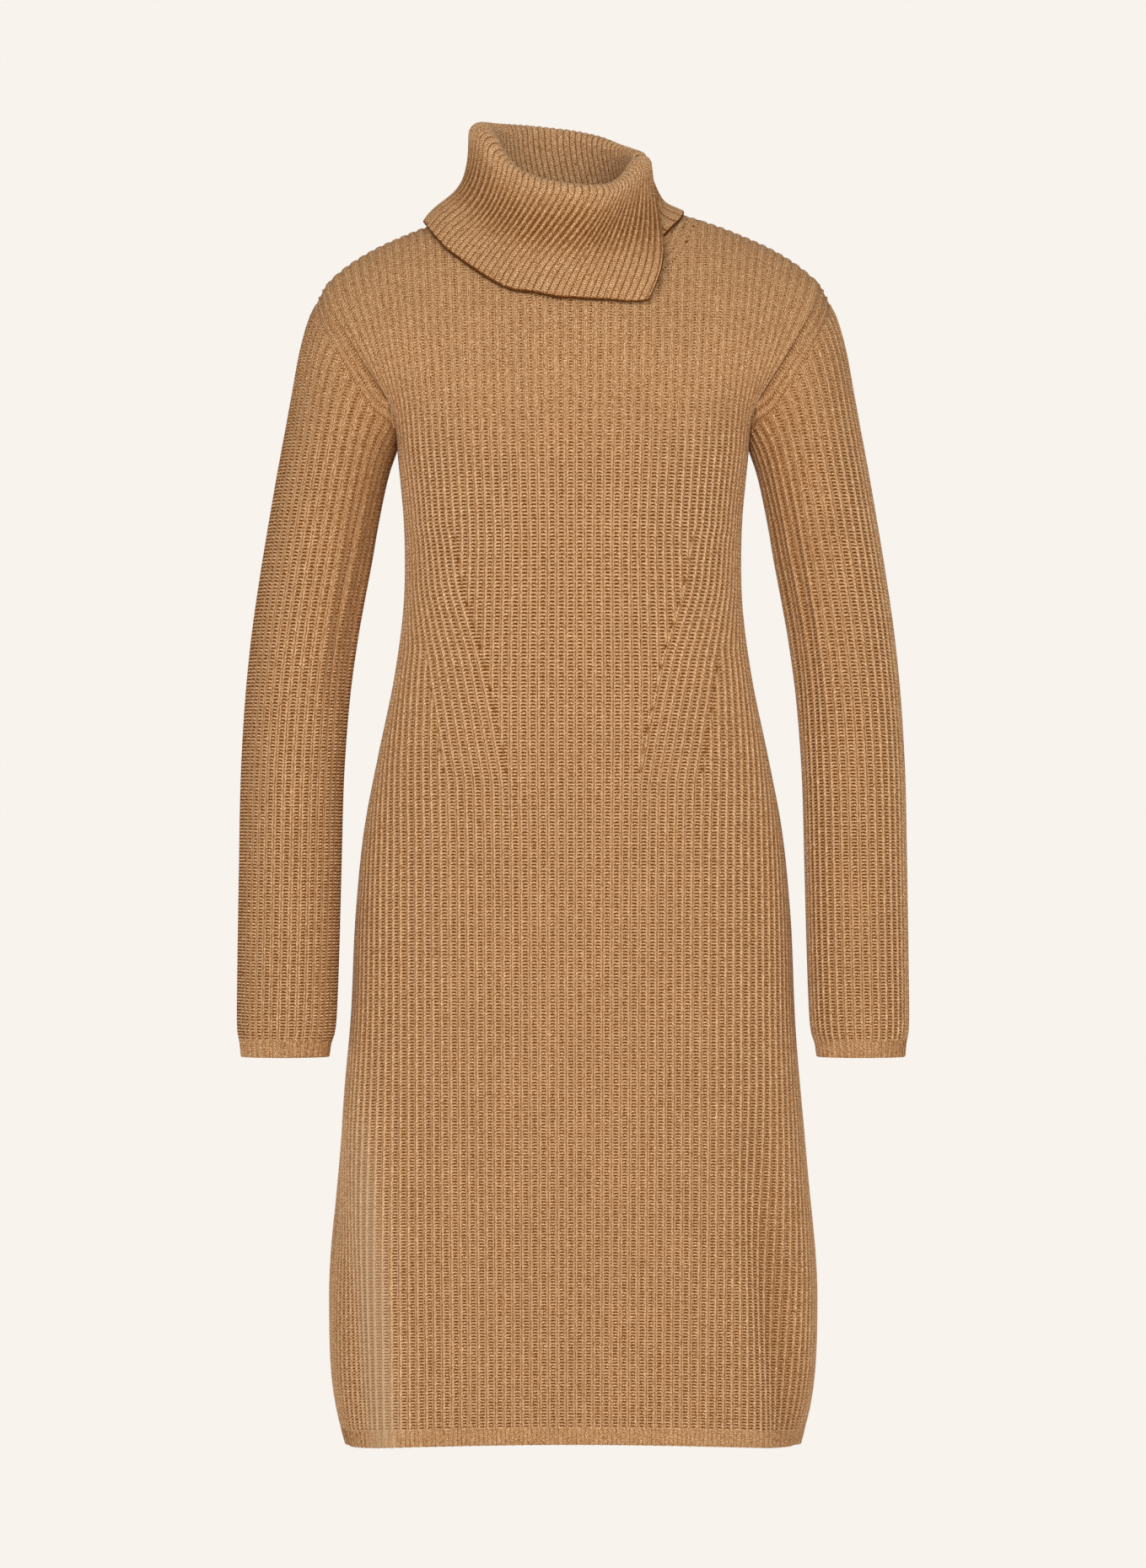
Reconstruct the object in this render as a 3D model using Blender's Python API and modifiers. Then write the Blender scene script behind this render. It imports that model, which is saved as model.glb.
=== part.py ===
"""Long-sleeved rib-knit dress, knee length, with a folded-over collar split at the wearer's left.

The dress is modelled hollow, in the form that a general figure gives it, in metres.
+Z is up, the front faces -Y and the wearer's left is +X.  The origin lies on the centre line
at the height of the shoulders' highest point, where the wearer carries the dress.
Every piece is one wall of knit: an open surface worked out from sections, thickened inwards.
"""
import math
from collections import namedtuple

import bmesh
import bpy
import numpy as np

# Cloth and seams
WALL = 0.0025               # thickness of the rib knit
SEAM_GAP = 0.0008           # between the outer edges of front and back at the side seams
ARMHOLE_GAP = 0.0015        # between a panel's edge and the sleeve's
NECK_GAP = 0.0025           # between the neckline and the collar's foot
UNDERARM_HEIGHT = -0.185    # the sections below are closed rings, the arch above carries the armholes

# Shoulder arch: front underarm level is 0, the crest of the shoulder 0.5, back underarm level 1
SHOULDER_SEAM = 0.55        # place of the shoulder seam on the arch, a little behind the crest
SHOULDER_GAP = 0.005        # the same seam's gap, in arch units
FRONT_LEAN = 0.26           # how the arch leans in as it leaves the underarm level
BACK_LEAN = -0.08
FIRST_RISE = 1.10
FRONT_CROWN = 1.30          # fullness of the arch under its crest
BACK_CROWN = 1.60

# Neckline
NECK_HALF_WIDTH = 0.060
FRONT_NECK_ARCH = 0.205     # arch place of the lowest point in front
BACK_NECK_ARCH = 0.318      # the same behind, measured from the back underarm level

# Collar: ring of the stand's inner face at the fold, and the fall that lies on the shoulders
COLLAR_CENTRE = (-0.0105, -0.013)
COLLAR_RADIUS = 0.0585
FOOT_INSET = 0.0003         # the stand's wall is this much inside the panel's
COLLAR_LIFT = 0.0050        # visible face of the fall above the panel under it
FALL_LANDING = 0.38         # share of it that lies along the shoulder

# How finely each piece is divided
PANEL_COLUMNS = 22
PANEL_UPPER_ROWS = 12
SLEEVE_COLUMNS = 20
OUTLINE_STEPS = 60          # steps along a curve whose length or outline is measured
COLLAR_COLUMNS = 36
STAND_ROWS = 3
FOLD_ROWS = 4
FALL_ROWS = 6

KNIT_COLOUR = (0.515, 0.283, 0.114, 1.0)
KNIT_ROUGHNESS = 0.9

# Rings of the body from hem to underarm.  side_power under 1 squares the section's front and back,
# and rows is how many rows of faces lie between a ring and the next.
BodySection = namedtuple("BodySection", "height half_width front_depth back_depth side_power rows")
BODY_SECTIONS = (
    BodySection(-0.987, 0.1838, 0.116, 0.124, 0.62, 1),
    BodySection(-0.960, 0.1905, 0.120, 0.128, 0.62, 1),
    BodySection(-0.869, 0.1968, 0.123, 0.131, 0.62, 2),
    BodySection(-0.760, 0.1885, 0.120, 0.128, 0.64, 1),
    BodySection(-0.651, 0.1792, 0.116, 0.127, 0.66, 1),
    BodySection(-0.556, 0.1748, 0.111, 0.124, 0.70, 1),
    BodySection(-0.488, 0.1677, 0.105, 0.109, 0.74, 1),
    BodySection(-0.434, 0.1574, 0.099, 0.089, 0.76, 1),
    BodySection(-0.366, 0.1435, 0.097, 0.076, 0.78, 1),
    BodySection(-0.311, 0.1364, 0.107, 0.082, 0.78, 2),
    BodySection(-0.250, 0.1358, 0.118, 0.093, 0.78, 2),
    BodySection(-0.185, 0.1415, 0.113, 0.098, 0.78, 0),
)

# Half width that the section would have, arms and all, above the underarm
YokeSection = namedtuple("YokeSection", "height half_width")
YOKE_SECTIONS = (
    YokeSection(-0.185, 0.1415),
    YokeSection(-0.178, 0.1424),
    YokeSection(-0.163, 0.1485),
    YokeSection(-0.142, 0.1650),
    YokeSection(-0.116, 0.1980),
    YokeSection(-0.080, 0.2400),
    YokeSection(-0.040, 0.2600),
    YokeSection(0.050, 0.2700),
)

# Crest line of the shoulder, from the middle of the neck outwards
CrestPoint = namedtuple("CrestPoint", "across height")
SHOULDER_CREST = (
    CrestPoint(0.000, 0.0500),
    CrestPoint(0.030, 0.0420),
    CrestPoint(0.050, 0.0230),
    CrestPoint(0.066, 0.0118),
    CrestPoint(0.085, 0.0055),
    CrestPoint(0.100, 0.0012),
    CrestPoint(0.119, -0.0052),
    CrestPoint(0.138, -0.0128),
    CrestPoint(0.166, -0.0262),
    CrestPoint(0.186, -0.0395),
    CrestPoint(0.200, -0.0520),
    CrestPoint(0.215, -0.0680),
)

# Armhole edge: half width of each panel along the arch, from underarm level to the crest
ArmholePoint = namedtuple("ArmholePoint", "arch front back")
ARMHOLE = (
    ArmholePoint(0.000, 0.1415, 0.1415),
    ArmholePoint(0.040, 0.1422, 0.1428),
    ArmholePoint(0.078, 0.1450, 0.1475),
    ArmholePoint(0.107, 0.1520, 0.1560),
    ArmholePoint(0.150, 0.1630, 0.1680),
    ArmholePoint(0.215, 0.1770, 0.1810),
    ArmholePoint(0.325, 0.1930, 0.1945),
    ArmholePoint(0.450, 0.1988, 0.1990),
    ArmholePoint(0.500, 0.1992, 0.1992),
    ArmholePoint(0.550, 0.1990, 0.1990),
)

# Where the columns of a panel end on the shoulder and neckline
TopPoint = namedtuple("TopPoint", "share across")
PANEL_TOP = (
    TopPoint(0.0000, 0.0000),
    TopPoint(0.1820, 0.0320),
    TopPoint(0.3637, 0.0600),
    TopPoint(0.5455, 0.0960),
    TopPoint(0.7273, 0.1360),
    TopPoint(1.0000, 0.1990),
)

# Soft folds of the skirt; side -1 is the front and +1 the back, a negative depth is a trough
SkirtFold = namedtuple("SkirtFold", "side top top_across hem_across width depth")
SKIRT_FOLDS = (
    SkirtFold(-1, -0.600, -0.160, -0.142, 0.020, 0.0045),
    SkirtFold(-1, -0.660, -0.184, -0.168, 0.017, -0.0060),
    SkirtFold(-1, -0.680, 0.158, 0.157, 0.016, -0.0085),
    SkirtFold(+1, -0.600, -0.100, -0.128, 0.022, -0.0070),
    SkirtFold(+1, -0.640, 0.070, 0.094, 0.026, -0.0060),
    SkirtFold(+1, -0.620, -0.012, -0.020, 0.030, 0.0050),
)

# Rings of the sleeve: outer and inner line as seen from the front, then its middle and half depth
SleeveRing = namedtuple("SleeveRing", "outer_x outer_z inner_x inner_z middle_y half_depth")
SLEEVE_RINGS = (
    SleeveRing(0.1990, -0.0500, 0.1415, -0.1850, 0.000, 0.0590),
    SleeveRing(0.2037, -0.0585, 0.1430, -0.1890, 0.000, 0.0590),
    SleeveRing(0.2130, -0.0790, 0.1450, -0.1945, 0.001, 0.0585),
    SleeveRing(0.2205, -0.1060, 0.1478, -0.2025, 0.002, 0.0575),
    SleeveRing(0.2258, -0.1350, 0.1510, -0.2150, 0.003, 0.0560),
    SleeveRing(0.2320, -0.1690, 0.1544, -0.2310, 0.004, 0.0545),
    SleeveRing(0.2385, -0.2040, 0.1582, -0.2510, 0.004, 0.0530),
    SleeveRing(0.2452, -0.2430, 0.1624, -0.2760, 0.004, 0.0520),
    SleeveRing(0.2522, -0.2860, 0.1677, -0.3040, 0.003, 0.0510),
    SleeveRing(0.2590, -0.3340, 0.1740, -0.3400, 0.001, 0.0500),
    SleeveRing(0.2642, -0.3880, 0.1802, -0.3880, -0.003, 0.0485),
    SleeveRing(0.2674, -0.4480, 0.1845, -0.4480, -0.009, 0.0470),
    SleeveRing(0.2686, -0.5200, 0.1864, -0.5200, -0.017, 0.0450),
    SleeveRing(0.2696, -0.6000, 0.1884, -0.6000, -0.025, 0.0430),
    SleeveRing(0.2698, -0.6480, 0.1906, -0.6480, -0.029, 0.0415),
    SleeveRing(0.2676, -0.6630, 0.1944, -0.6630, -0.030, 0.0370),
    SleeveRing(0.2668, -0.6735, 0.1957, -0.6735, -0.031, 0.0360),
)
ARMHOLE_BLEND_RINGS = 4     # rings over which the sleeve leaves the armhole's own outline
ELBOW_RING = 9              # ring at which the sleeve's one tube is parted into two simpler solids
ELBOW_GAP = 0.0005

# Collar strip, counted in ribs from its front end round to its back end.  turn is the angle at the
# fold from the front centre, + to the wearer's left; edge_across and edge_arch place the fall's
# lower edge on the body; fold is the fold's radius and bulge pushes the fall out.  drop is the share
# of the fall's length that it hangs straight down, and flare how far it moves out past the foot.
CollarStation = namedtuple(
    "CollarStation", "rib turn rim_height edge_across edge_arch fold bulge drop flare")
COLLAR_STATIONS = (
    CollarStation(0, 79, 0.0520, 0.0592, 0.223, 0.0085, 0.0130, 0.42, 1.0),
    CollarStation(4, 66, 0.0465, 0.0365, 0.202, 0.0082, 0.0085, 0.42, 1.0),
    CollarStation(9, 50, 0.0340, 0.0100, 0.195, 0.0080, 0.0042, 0.42, 1.0),
    CollarStation(15, 31, 0.0253, -0.0240, 0.204, 0.0078, 0.0028, 0.42, 1.0),
    CollarStation(19, 12, 0.0253, -0.0460, 0.228, 0.0076, 0.0022, 0.42, 1.0),
    CollarStation(24, -10, 0.0292, -0.0700, 0.272, 0.0075, 0.0015, 0.42, 1.0),
    CollarStation(29, -30, 0.0385, -0.0900, 0.315, 0.0075, 0.0006, 0.42, 1.0),
    CollarStation(33, -45, 0.0520, -0.1040, 0.356, 0.0075, 0.0000, 0.42, 1.0),
    CollarStation(36, -60, 0.0675, -0.1140, 0.410, 0.0075, 0.0000, 0.42, 1.0),
    CollarStation(40, -80, 0.0770, -0.1195, 0.500, 0.0075, 0.0000, 0.42, 1.0),
    CollarStation(44, -100, 0.0795, -0.1110, 0.580, 0.0075, 0.0000, 0.42, 1.0),
    CollarStation(49, -125, 0.0802, -0.0870, 0.640, 0.0075, 0.0000, 0.42, 1.0),
    CollarStation(56, -160, 0.0798, -0.0400, 0.690, 0.0075, 0.0000, 0.42, 1.0),
    CollarStation(61, -185, 0.0770, -0.0030, 0.695, 0.0074, 0.0000, 0.42, 1.0),
    CollarStation(66, -208, 0.0715, 0.0330, 0.680, 0.0072, 0.0000, 0.42, 1.0),
    CollarStation(71, -230, 0.0630, 0.0640, 0.625, 0.0068, 0.0000, 0.45, 0.8),
    CollarStation(76, -252, 0.0575, 0.0850, 0.530, 0.0062, 0.0000, 0.49, 0.6),
    CollarStation(80, -266, 0.0552, 0.0860, 0.425, 0.0058, 0.0000, 0.47, 0.7),
    CollarStation(84, -279, 0.0545, 0.0520, 0.275, 0.0055, 0.0000, 0.42, 1.0),
)


def column(table, name):
    """One named column of a table."""
    return np.array([getattr(row, name) for row in table], dtype=float)


def hermite(share, start, end, start_slope, end_slope):
    """Cubic curve between two values with the given slopes."""
    square, cube = share ** 2, share ** 3
    return ((2 * cube - 3 * square + 1) * start + (cube - 2 * square + share) * start_slope
            + (3 * square - 2 * cube) * end + (cube - square) * end_slope)


def through(table, key, name, place):
    """Smooth curve through one column of a table, read at a place on its key column."""
    keys, values = column(table, key), column(table, name)
    slopes = np.gradient(values, keys)
    first = int(np.clip(np.searchsorted(keys, place) - 1, 0, len(keys) - 2))
    span = keys[first + 1] - keys[first]
    share = min(max((place - keys[first]) / span, 0.0), 1.0)
    return hermite(share, values[first], values[first + 1],
                   slopes[first] * span, slopes[first + 1] * span)


def unit(vector):
    return vector / np.linalg.norm(vector)


def section_at(height):
    """Half width, front depth, back depth and side power of the body's ring at a height."""
    return [through(BODY_SECTIONS, "height", name, height)
            for name in ("half_width", "front_depth", "back_depth", "side_power")]


def section_arc(half_width, depth, power):
    """Points of half a ring from its centre line to its side, and the length of cloth up to each."""
    turns = math.pi / 2 * (1 - (1 - np.linspace(0, 1, OUTLINE_STEPS)) ** 2)
    across = half_width * np.sin(turns)
    out = depth * np.maximum(np.cos(turns), 0) ** power
    steps = np.hypot(np.diff(across), np.diff(out))
    return across, out, np.concatenate(([0.0], np.cumsum(steps)))


def ring_point(share, height, side):
    """Point of a body panel below the underarm; share runs -1 to 1 by length of cloth."""
    half_width, front_depth, back_depth, power = section_at(height)
    depth = front_depth if side < 0 else back_depth
    across, out, arc = section_arc(half_width, depth, power)
    length = min(abs(share) * arc[-1], arc[-1] - SEAM_GAP / 2)
    x = math.copysign(np.interp(length, arc, across), share)
    y = side * np.interp(length, arc, out)
    outward = unit(np.array([x / half_width, y / depth, 0.0]))
    return np.array([x, y, height]) + outward * fold_height(x, height, side)


def fold_height(across, height, side):
    """How far the skirt's folds push the cloth out at one place."""
    push = 0.0
    for fold in SKIRT_FOLDS:
        if fold.side != side or height >= fold.top:
            continue
        fall = (fold.top - height) / (fold.top - BODY_SECTIONS[0].height)
        middle = fold.top_across + (fold.hem_across - fold.top_across) * fall
        grown = fall * fall * (3 - 2 * fall)
        push += fold.depth * grown * math.exp(-((across - middle) / fold.width) ** 2)
    return push


def arch_shape(arch):
    """Depth and rise of the shoulder arch as shares of its full depth and height."""
    crown = FRONT_CROWN if arch <= 0.5 else BACK_CROWN
    share = 2 * min(arch, 1 - arch)
    depth = hermite(share, 1, 0, -(FRONT_LEAN if arch <= 0.5 else BACK_LEAN), -crown)
    rise = hermite(share, 0, 1, FIRST_RISE, 0)
    return depth, rise


def arch_point(across, arch):
    """Point of the body above the underarm, from its place across and along the shoulder arch."""
    _, front_depth, back_depth, power = section_at(UNDERARM_HEIGHT)
    depth, rise = arch_shape(arch)
    crest = through(SHOULDER_CREST, "across", "height", abs(across))
    height = UNDERARM_HEIGHT + (crest - UNDERARM_HEIGHT) * rise
    reach = through(YOKE_SECTIONS, "height", "half_width", height)
    flank = max(1 - (across / reach) ** 2, 0.0) ** (power / 2)
    full = -front_depth if arch <= 0.5 else back_depth
    return np.array([across, full * flank * depth, height])


def arch_normal(across, arch):
    """Outward normal of the body above the underarm."""
    step = 0.002
    along = arch_point(across, arch + step) - arch_point(across, arch - step)
    sideways = arch_point(across + step, arch) - arch_point(across - step, arch)
    return unit(np.cross(sideways, along))


def neckline_place(turn):
    """Place across and along the arch of the neckline, from the turn about the neck in degrees."""
    forward = math.cos(math.radians(turn))
    across = NECK_HALF_WIDTH * math.sin(math.radians(turn))
    if forward >= 0:
        arch = FRONT_NECK_ARCH + (SHOULDER_SEAM - FRONT_NECK_ARCH) * (1 - forward)
    else:
        arch = 1 - BACK_NECK_ARCH - (1 - BACK_NECK_ARCH - SHOULDER_SEAM) * (1 + forward)
    return across, arch


def armhole_width(arch, side):
    """Half width of a panel at the armhole edge, from its place on the arch."""
    from_base = arch if side < 0 else 1 - arch
    return through(ARMHOLE, "arch", "front" if side < 0 else "back", from_base)


def panel_top_arch(across, side):
    """Arch place, from the panel's own underarm level, where a column of it ends."""
    seam = SHOULDER_SEAM if side < 0 else 1 - SHOULDER_SEAM - SHOULDER_GAP
    low = FRONT_NECK_ARCH if side < 0 else BACK_NECK_ARCH
    inside = min(abs(across) / NECK_HALF_WIDTH, 1.0)
    return low + (seam - low) * (1 - math.sqrt(1 - inside ** 2))


def yoke_point(share, lift, side):
    """Point of a panel above the underarm; lift runs from 0 at the underarm to 1 at its top edge."""
    base = ring_point(share, UNDERARM_HEIGHT, side)[0]
    top = math.copysign(through(PANEL_TOP, "share", "across", abs(share)), share)
    from_base = lift * panel_top_arch(top, side)
    arch = from_base if side < 0 else 1 - from_base
    edge_base, edge_top = armhole_width(0 if side < 0 else 1, side), PANEL_TOP[-1].across
    edge_lean = (armhole_width(arch, side) - edge_base) / (edge_top - edge_base)
    near_edge = abs(share) ** 3
    lean = lift + (edge_lean - lift) * near_edge
    return arch_point(base + (top - base) * lean, arch)


def panel_heights():
    """Heights of a panel's rows from hem to underarm."""
    heights = [BODY_SECTIONS[0].height]
    for lower, upper in zip(BODY_SECTIONS, BODY_SECTIONS[1:]):
        heights += [lower.height + (upper.height - lower.height) * n / lower.rows
                    for n in range(1, lower.rows + 1)]
    return heights


def body_panel(side):
    """Rows of points of the front (side -1) or back (side +1), hem first."""
    shares = np.linspace(-1, 1, PANEL_COLUMNS + 1) * -side
    rows = [[ring_point(share, height, side) for share in shares] for height in panel_heights()]
    lifts = (1 - np.cos(np.linspace(0, math.pi, PANEL_UPPER_ROWS + 1))) / 2
    for lift in lifts[1:]:
        rows.append([yoke_point(share, lift, side) for share in shares])
    return np.array(rows)


def armhole_outline(turns):
    """Points of the left armhole's edge at turns from its top, forward and round."""
    front = [arch_point(armhole_width(arch, -1), arch) for arch in np.linspace(0.5, 0, OUTLINE_STEPS)]
    back = [arch_point(armhole_width(arch, 1), arch) for arch in np.linspace(1, 0.5, OUTLINE_STEPS)]
    edge = np.array(front + back[1:-1])
    first = SLEEVE_RINGS[0]
    middle = np.array([first.outer_x + first.inner_x, 0, first.outer_z + first.inner_z]) / 2
    reach = np.array([first.outer_x - first.inner_x, 0, first.outer_z - first.inner_z]) / 2
    upward = (edge - middle) @ reach / (reach @ reach)
    forward = -edge[:, 1] / first.half_depth
    edge_turns = np.unwrap(np.arctan2(forward, upward)) % (2 * math.pi)
    order = np.argsort(edge_turns)
    return np.stack([np.interp(turns, edge_turns[order], edge[order, axis], period=2 * math.pi)
                     for axis in range(3)], axis=1)


def sleeve_rows():
    """Rows of points of the left sleeve, armhole first, each a ring from its outer line forward."""
    turns = np.linspace(0, 2 * math.pi, SLEEVE_COLUMNS + 1)
    rows = []
    for ring in SLEEVE_RINGS:
        middle = np.array([(ring.outer_x + ring.inner_x) / 2, ring.middle_y,
                           (ring.outer_z + ring.inner_z) / 2])
        reach = np.array([(ring.outer_x - ring.inner_x) / 2, 0, (ring.outer_z - ring.inner_z) / 2])
        depth = np.array([0, -ring.half_depth, 0])
        rows.append(middle + np.outer(np.cos(turns), reach) + np.outer(np.sin(turns), depth))
    rows = np.array(rows)
    own_outline = armhole_outline(turns) - rows[0]
    for number in range(ARMHOLE_BLEND_RINGS):
        rows[number] += own_outline * (1 - number / ARMHOLE_BLEND_RINGS) ** 2
    away = rows[1] - rows[0]
    rows[0] += ARMHOLE_GAP * away / np.linalg.norm(away, axis=1)[:, None]
    return rows


def parted_sleeve(rows):
    """Rows above the elbow and rows below it, a small gap apart."""
    upper, lower = rows[:ELBOW_RING + 1].copy(), rows[ELBOW_RING:].copy()
    away = lower[1] - lower[0]
    lower[0] += ELBOW_GAP * away / np.linalg.norm(away, axis=1)[:, None]
    return upper, lower


def around_neck(turn, radius, height):
    """Point on the collar's ring at a turn in degrees, a radius and a height."""
    angle = math.radians(turn)
    return np.array([COLLAR_CENTRE[0] + radius * math.sin(angle),
                     COLLAR_CENTRE[1] - radius * math.cos(angle), height])


def collar_column(rib):
    """One line of the collar along a rib: up the stand, over the fold and down the fall."""
    station = {name: through(COLLAR_STATIONS, "rib", name, rib)
               for name in CollarStation._fields[1:]}
    turn, fold = station["turn"], station["fold"]
    across, arch = neckline_place(turn)
    foot = arch_point(across, arch)
    inward = unit(around_neck(turn, 0, 0) - around_neck(turn, 1, 0))
    foot = foot + inward * (WALL + FOOT_INSET) + np.array([0, 0, NECK_GAP])
    fold_base = station["rim_height"] - fold
    stand_top = around_neck(turn, COLLAR_RADIUS, fold_base)
    points = []
    for share in np.linspace(0, 1, STAND_ROWS + 1)[:-1]:
        ease = share * share * (3 - 2 * share)
        point = foot + (stand_top - foot) * ease
        point[2] = foot[2] + (stand_top[2] - foot[2]) * share
        points.append(point)
    for bend in np.linspace(0, math.pi, FOLD_ROWS + 1)[:-1]:
        radius = COLLAR_RADIUS + fold * (1 - math.cos(bend))
        points.append(around_neck(turn, radius, fold_base + fold * math.sin(bend)))
    spread = max((stand_top - foot)[:2] @ inward[:2], 0.0)
    points += fall_points(station, fold_base, spread, (across, arch))
    return points


def fall_points(station, start_height, spread, neck_place):
    """Points of the fall: down from the fold beside the stand, then out along the body to its edge."""
    turn = station["turn"]
    start = around_neck(turn, COLLAR_RADIUS + 2 * station["fold"], start_height)
    outward = around_neck(turn, 1, 0) - around_neck(turn, 0, 0)
    edge_place = np.array([station["edge_across"], station["edge_arch"]])
    lift = arch_normal(*edge_place) * COLLAR_LIFT
    edge = arch_point(*edge_place) + lift
    before = edge_place + (np.array(neck_place) - edge_place) / 7
    lie = unit(arch_point(*edge_place) - arch_point(*before))
    length = np.linalg.norm(edge - start)
    drop = start - np.array([0, 0, station["drop"] * length]) + outward * spread * station["flare"]
    landing = edge - lie * FALL_LANDING * length
    aside = unit(outward + np.array([0, -1, 0])) * station["bulge"]
    points = []
    for share in np.linspace(0, 1, FALL_ROWS + 1):
        rest = 1 - share
        point = (rest ** 3 * start + 3 * rest ** 2 * share * drop
                 + 3 * rest * share ** 2 * landing + share ** 3 * edge)
        points.append(point + aside * 9.48 * share ** 3 * rest)
    return points


def collar_rows():
    """Rows of points of the collar, its foot first, each from the front end to the back end."""
    ribs = np.linspace(COLLAR_STATIONS[0].rib, COLLAR_STATIONS[-1].rib, COLLAR_COLUMNS + 1)
    columns = np.array([collar_column(rib) for rib in ribs])
    return columns.transpose(1, 0, 2)


def knit_material():
    """Matt camel wool, the same for every piece."""
    material = bpy.data.materials.new("camel_rib_knit")
    material.use_nodes = True
    shader = material.node_tree.nodes["Principled BSDF"]
    shader.inputs["Base Color"].default_value = KNIT_COLOUR
    shader.inputs["Roughness"].default_value = KNIT_ROUGHNESS
    shader.inputs["Metallic"].default_value = 0.0
    return material


def cloth_piece(name, rows, collection, tube=False):
    """Grid moved to the rows' points and thickened away from its visible face."""
    row_count, column_count = rows.shape[:2]
    cloth = bmesh.new()
    bmesh.ops.create_grid(cloth, x_segments=column_count - 1, y_segments=row_count - 1, size=1)
    for vertex in cloth.verts:
        across = round((vertex.co.x + 1) / 2 * (column_count - 1))
        up = round((vertex.co.y + 1) / 2 * (row_count - 1))
        vertex.co = rows[up][across]
    if tube:
        bmesh.ops.remove_doubles(cloth, verts=cloth.verts, dist=0.00001)
    mesh = bpy.data.meshes.new(name)
    cloth.to_mesh(mesh)
    cloth.free()
    mesh.shade_smooth()
    piece = bpy.data.objects.new(name, mesh)
    collection.objects.link(piece)
    mesh.materials.append(knit_material())
    wall = piece.modifiers.new("Wall", "SOLIDIFY")
    wall.thickness = WALL
    wall.offset = -1
    wall.use_even_offset = True
    return piece


def build_dress():
    """Clears the scene and makes the front, the back, both sleeves and the collar."""
    for item in list(bpy.data.objects):
        bpy.data.objects.remove(item)
    collection = bpy.data.collections.new("sweater_dress")
    bpy.context.scene.collection.children.link(collection)
    cloth_piece("front", body_panel(-1), collection)
    cloth_piece("back", body_panel(1), collection)
    left = sleeve_rows()
    right = left[:, ::-1] * np.array([-1, 1, 1])
    for name, rows in (("sleeve_left", left), ("sleeve_right", right)):
        upper, lower = parted_sleeve(rows)
        cloth_piece(name + "_upper", upper, collection, tube=True)
        cloth_piece(name + "_lower", lower, collection, tube=True)
    cloth_piece("collar", collar_rows(), collection)


build_dress()
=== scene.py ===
# Rib-knit sweater dress with a folded, split collar: five knitted shells over the fixed frame.
# Lengths are in metres, +Z is up, the front faces -Y and the wearer's left is +X.
import math

import bpy
import numpy as np
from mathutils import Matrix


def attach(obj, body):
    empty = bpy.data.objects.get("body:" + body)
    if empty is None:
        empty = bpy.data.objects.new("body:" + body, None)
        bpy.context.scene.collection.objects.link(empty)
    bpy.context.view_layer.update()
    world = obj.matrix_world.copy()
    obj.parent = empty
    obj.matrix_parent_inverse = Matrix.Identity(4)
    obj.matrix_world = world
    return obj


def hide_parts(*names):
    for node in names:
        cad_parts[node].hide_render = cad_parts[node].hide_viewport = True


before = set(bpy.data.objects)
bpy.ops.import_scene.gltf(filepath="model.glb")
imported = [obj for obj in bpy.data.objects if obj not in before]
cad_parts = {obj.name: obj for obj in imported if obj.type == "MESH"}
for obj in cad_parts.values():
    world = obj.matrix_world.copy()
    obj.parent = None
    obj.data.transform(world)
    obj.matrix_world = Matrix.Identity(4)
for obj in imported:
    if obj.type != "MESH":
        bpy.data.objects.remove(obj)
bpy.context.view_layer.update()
print("frame loaded:", ", ".join(sorted(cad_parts)))


# Curves and small helpers

def bend(share, start, end, startSlope, endSlope):
    # cubic between two values: it leaves the first and reaches the second with the given slopes
    square, cube = share ** 2, share ** 3
    return ((2 * cube - 3 * square + 1) * start + (cube - 2 * square + share) * startSlope
            + (3 * square - 2 * cube) * end + (cube - square) * endSlope)


def along(table, key, name, place):
    # smooth curve through a table's column, read at places on its key column
    keys, values = np.array(table[key], float), np.array(table[name], float)
    slopes = np.gradient(values, keys)
    first = np.clip(np.searchsorted(keys, place) - 1, 0, len(keys) - 2)
    span = keys[first + 1] - keys[first]
    share = np.clip((place - keys[first]) / span, 0, 1)
    return bend(share, values[first], values[first + 1],
                slopes[first] * span, slopes[first + 1] * span)


def ramp(low, high, value):
    # 0 below low, 1 above high, and an S curve between them
    share = np.clip((value - low) / (high - low), 0, 1)
    return share * share * (3 - 2 * share)


def unit(vectors):
    # each vector over its own length
    return vectors / np.maximum(np.linalg.norm(vectors, axis=-1, keepdims=True), 1e-12)


def facing(points):
    # unit normals of a grid: the cross product of its steps along a row and up a column
    return unit(np.cross(np.gradient(points, axis=1), np.gradient(points, axis=0)))


def lengthsUp(points):
    # distance along each column of a grid from its first row
    steps = np.linalg.norm(np.diff(points, axis=0), axis=2)
    return np.concatenate((np.zeros((1, points.shape[1])), np.cumsum(steps, axis=0)))


def readColumns(lines, climbed, reach):
    # points of each column of a grid, read at wanted distances from its first row
    return np.stack([np.array([np.interp(reach[:, n], climbed[:, n], lines[:, n, axis])
                               for n in range(lines.shape[1])]).T for axis in range(3)], axis=2)


def readRow(places, wanted, values):
    # values of a regular row, read between its places
    return np.stack([np.interp(wanted, places, values[:, axis]) for axis in range(3)], axis=1)


# The body's form

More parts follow.
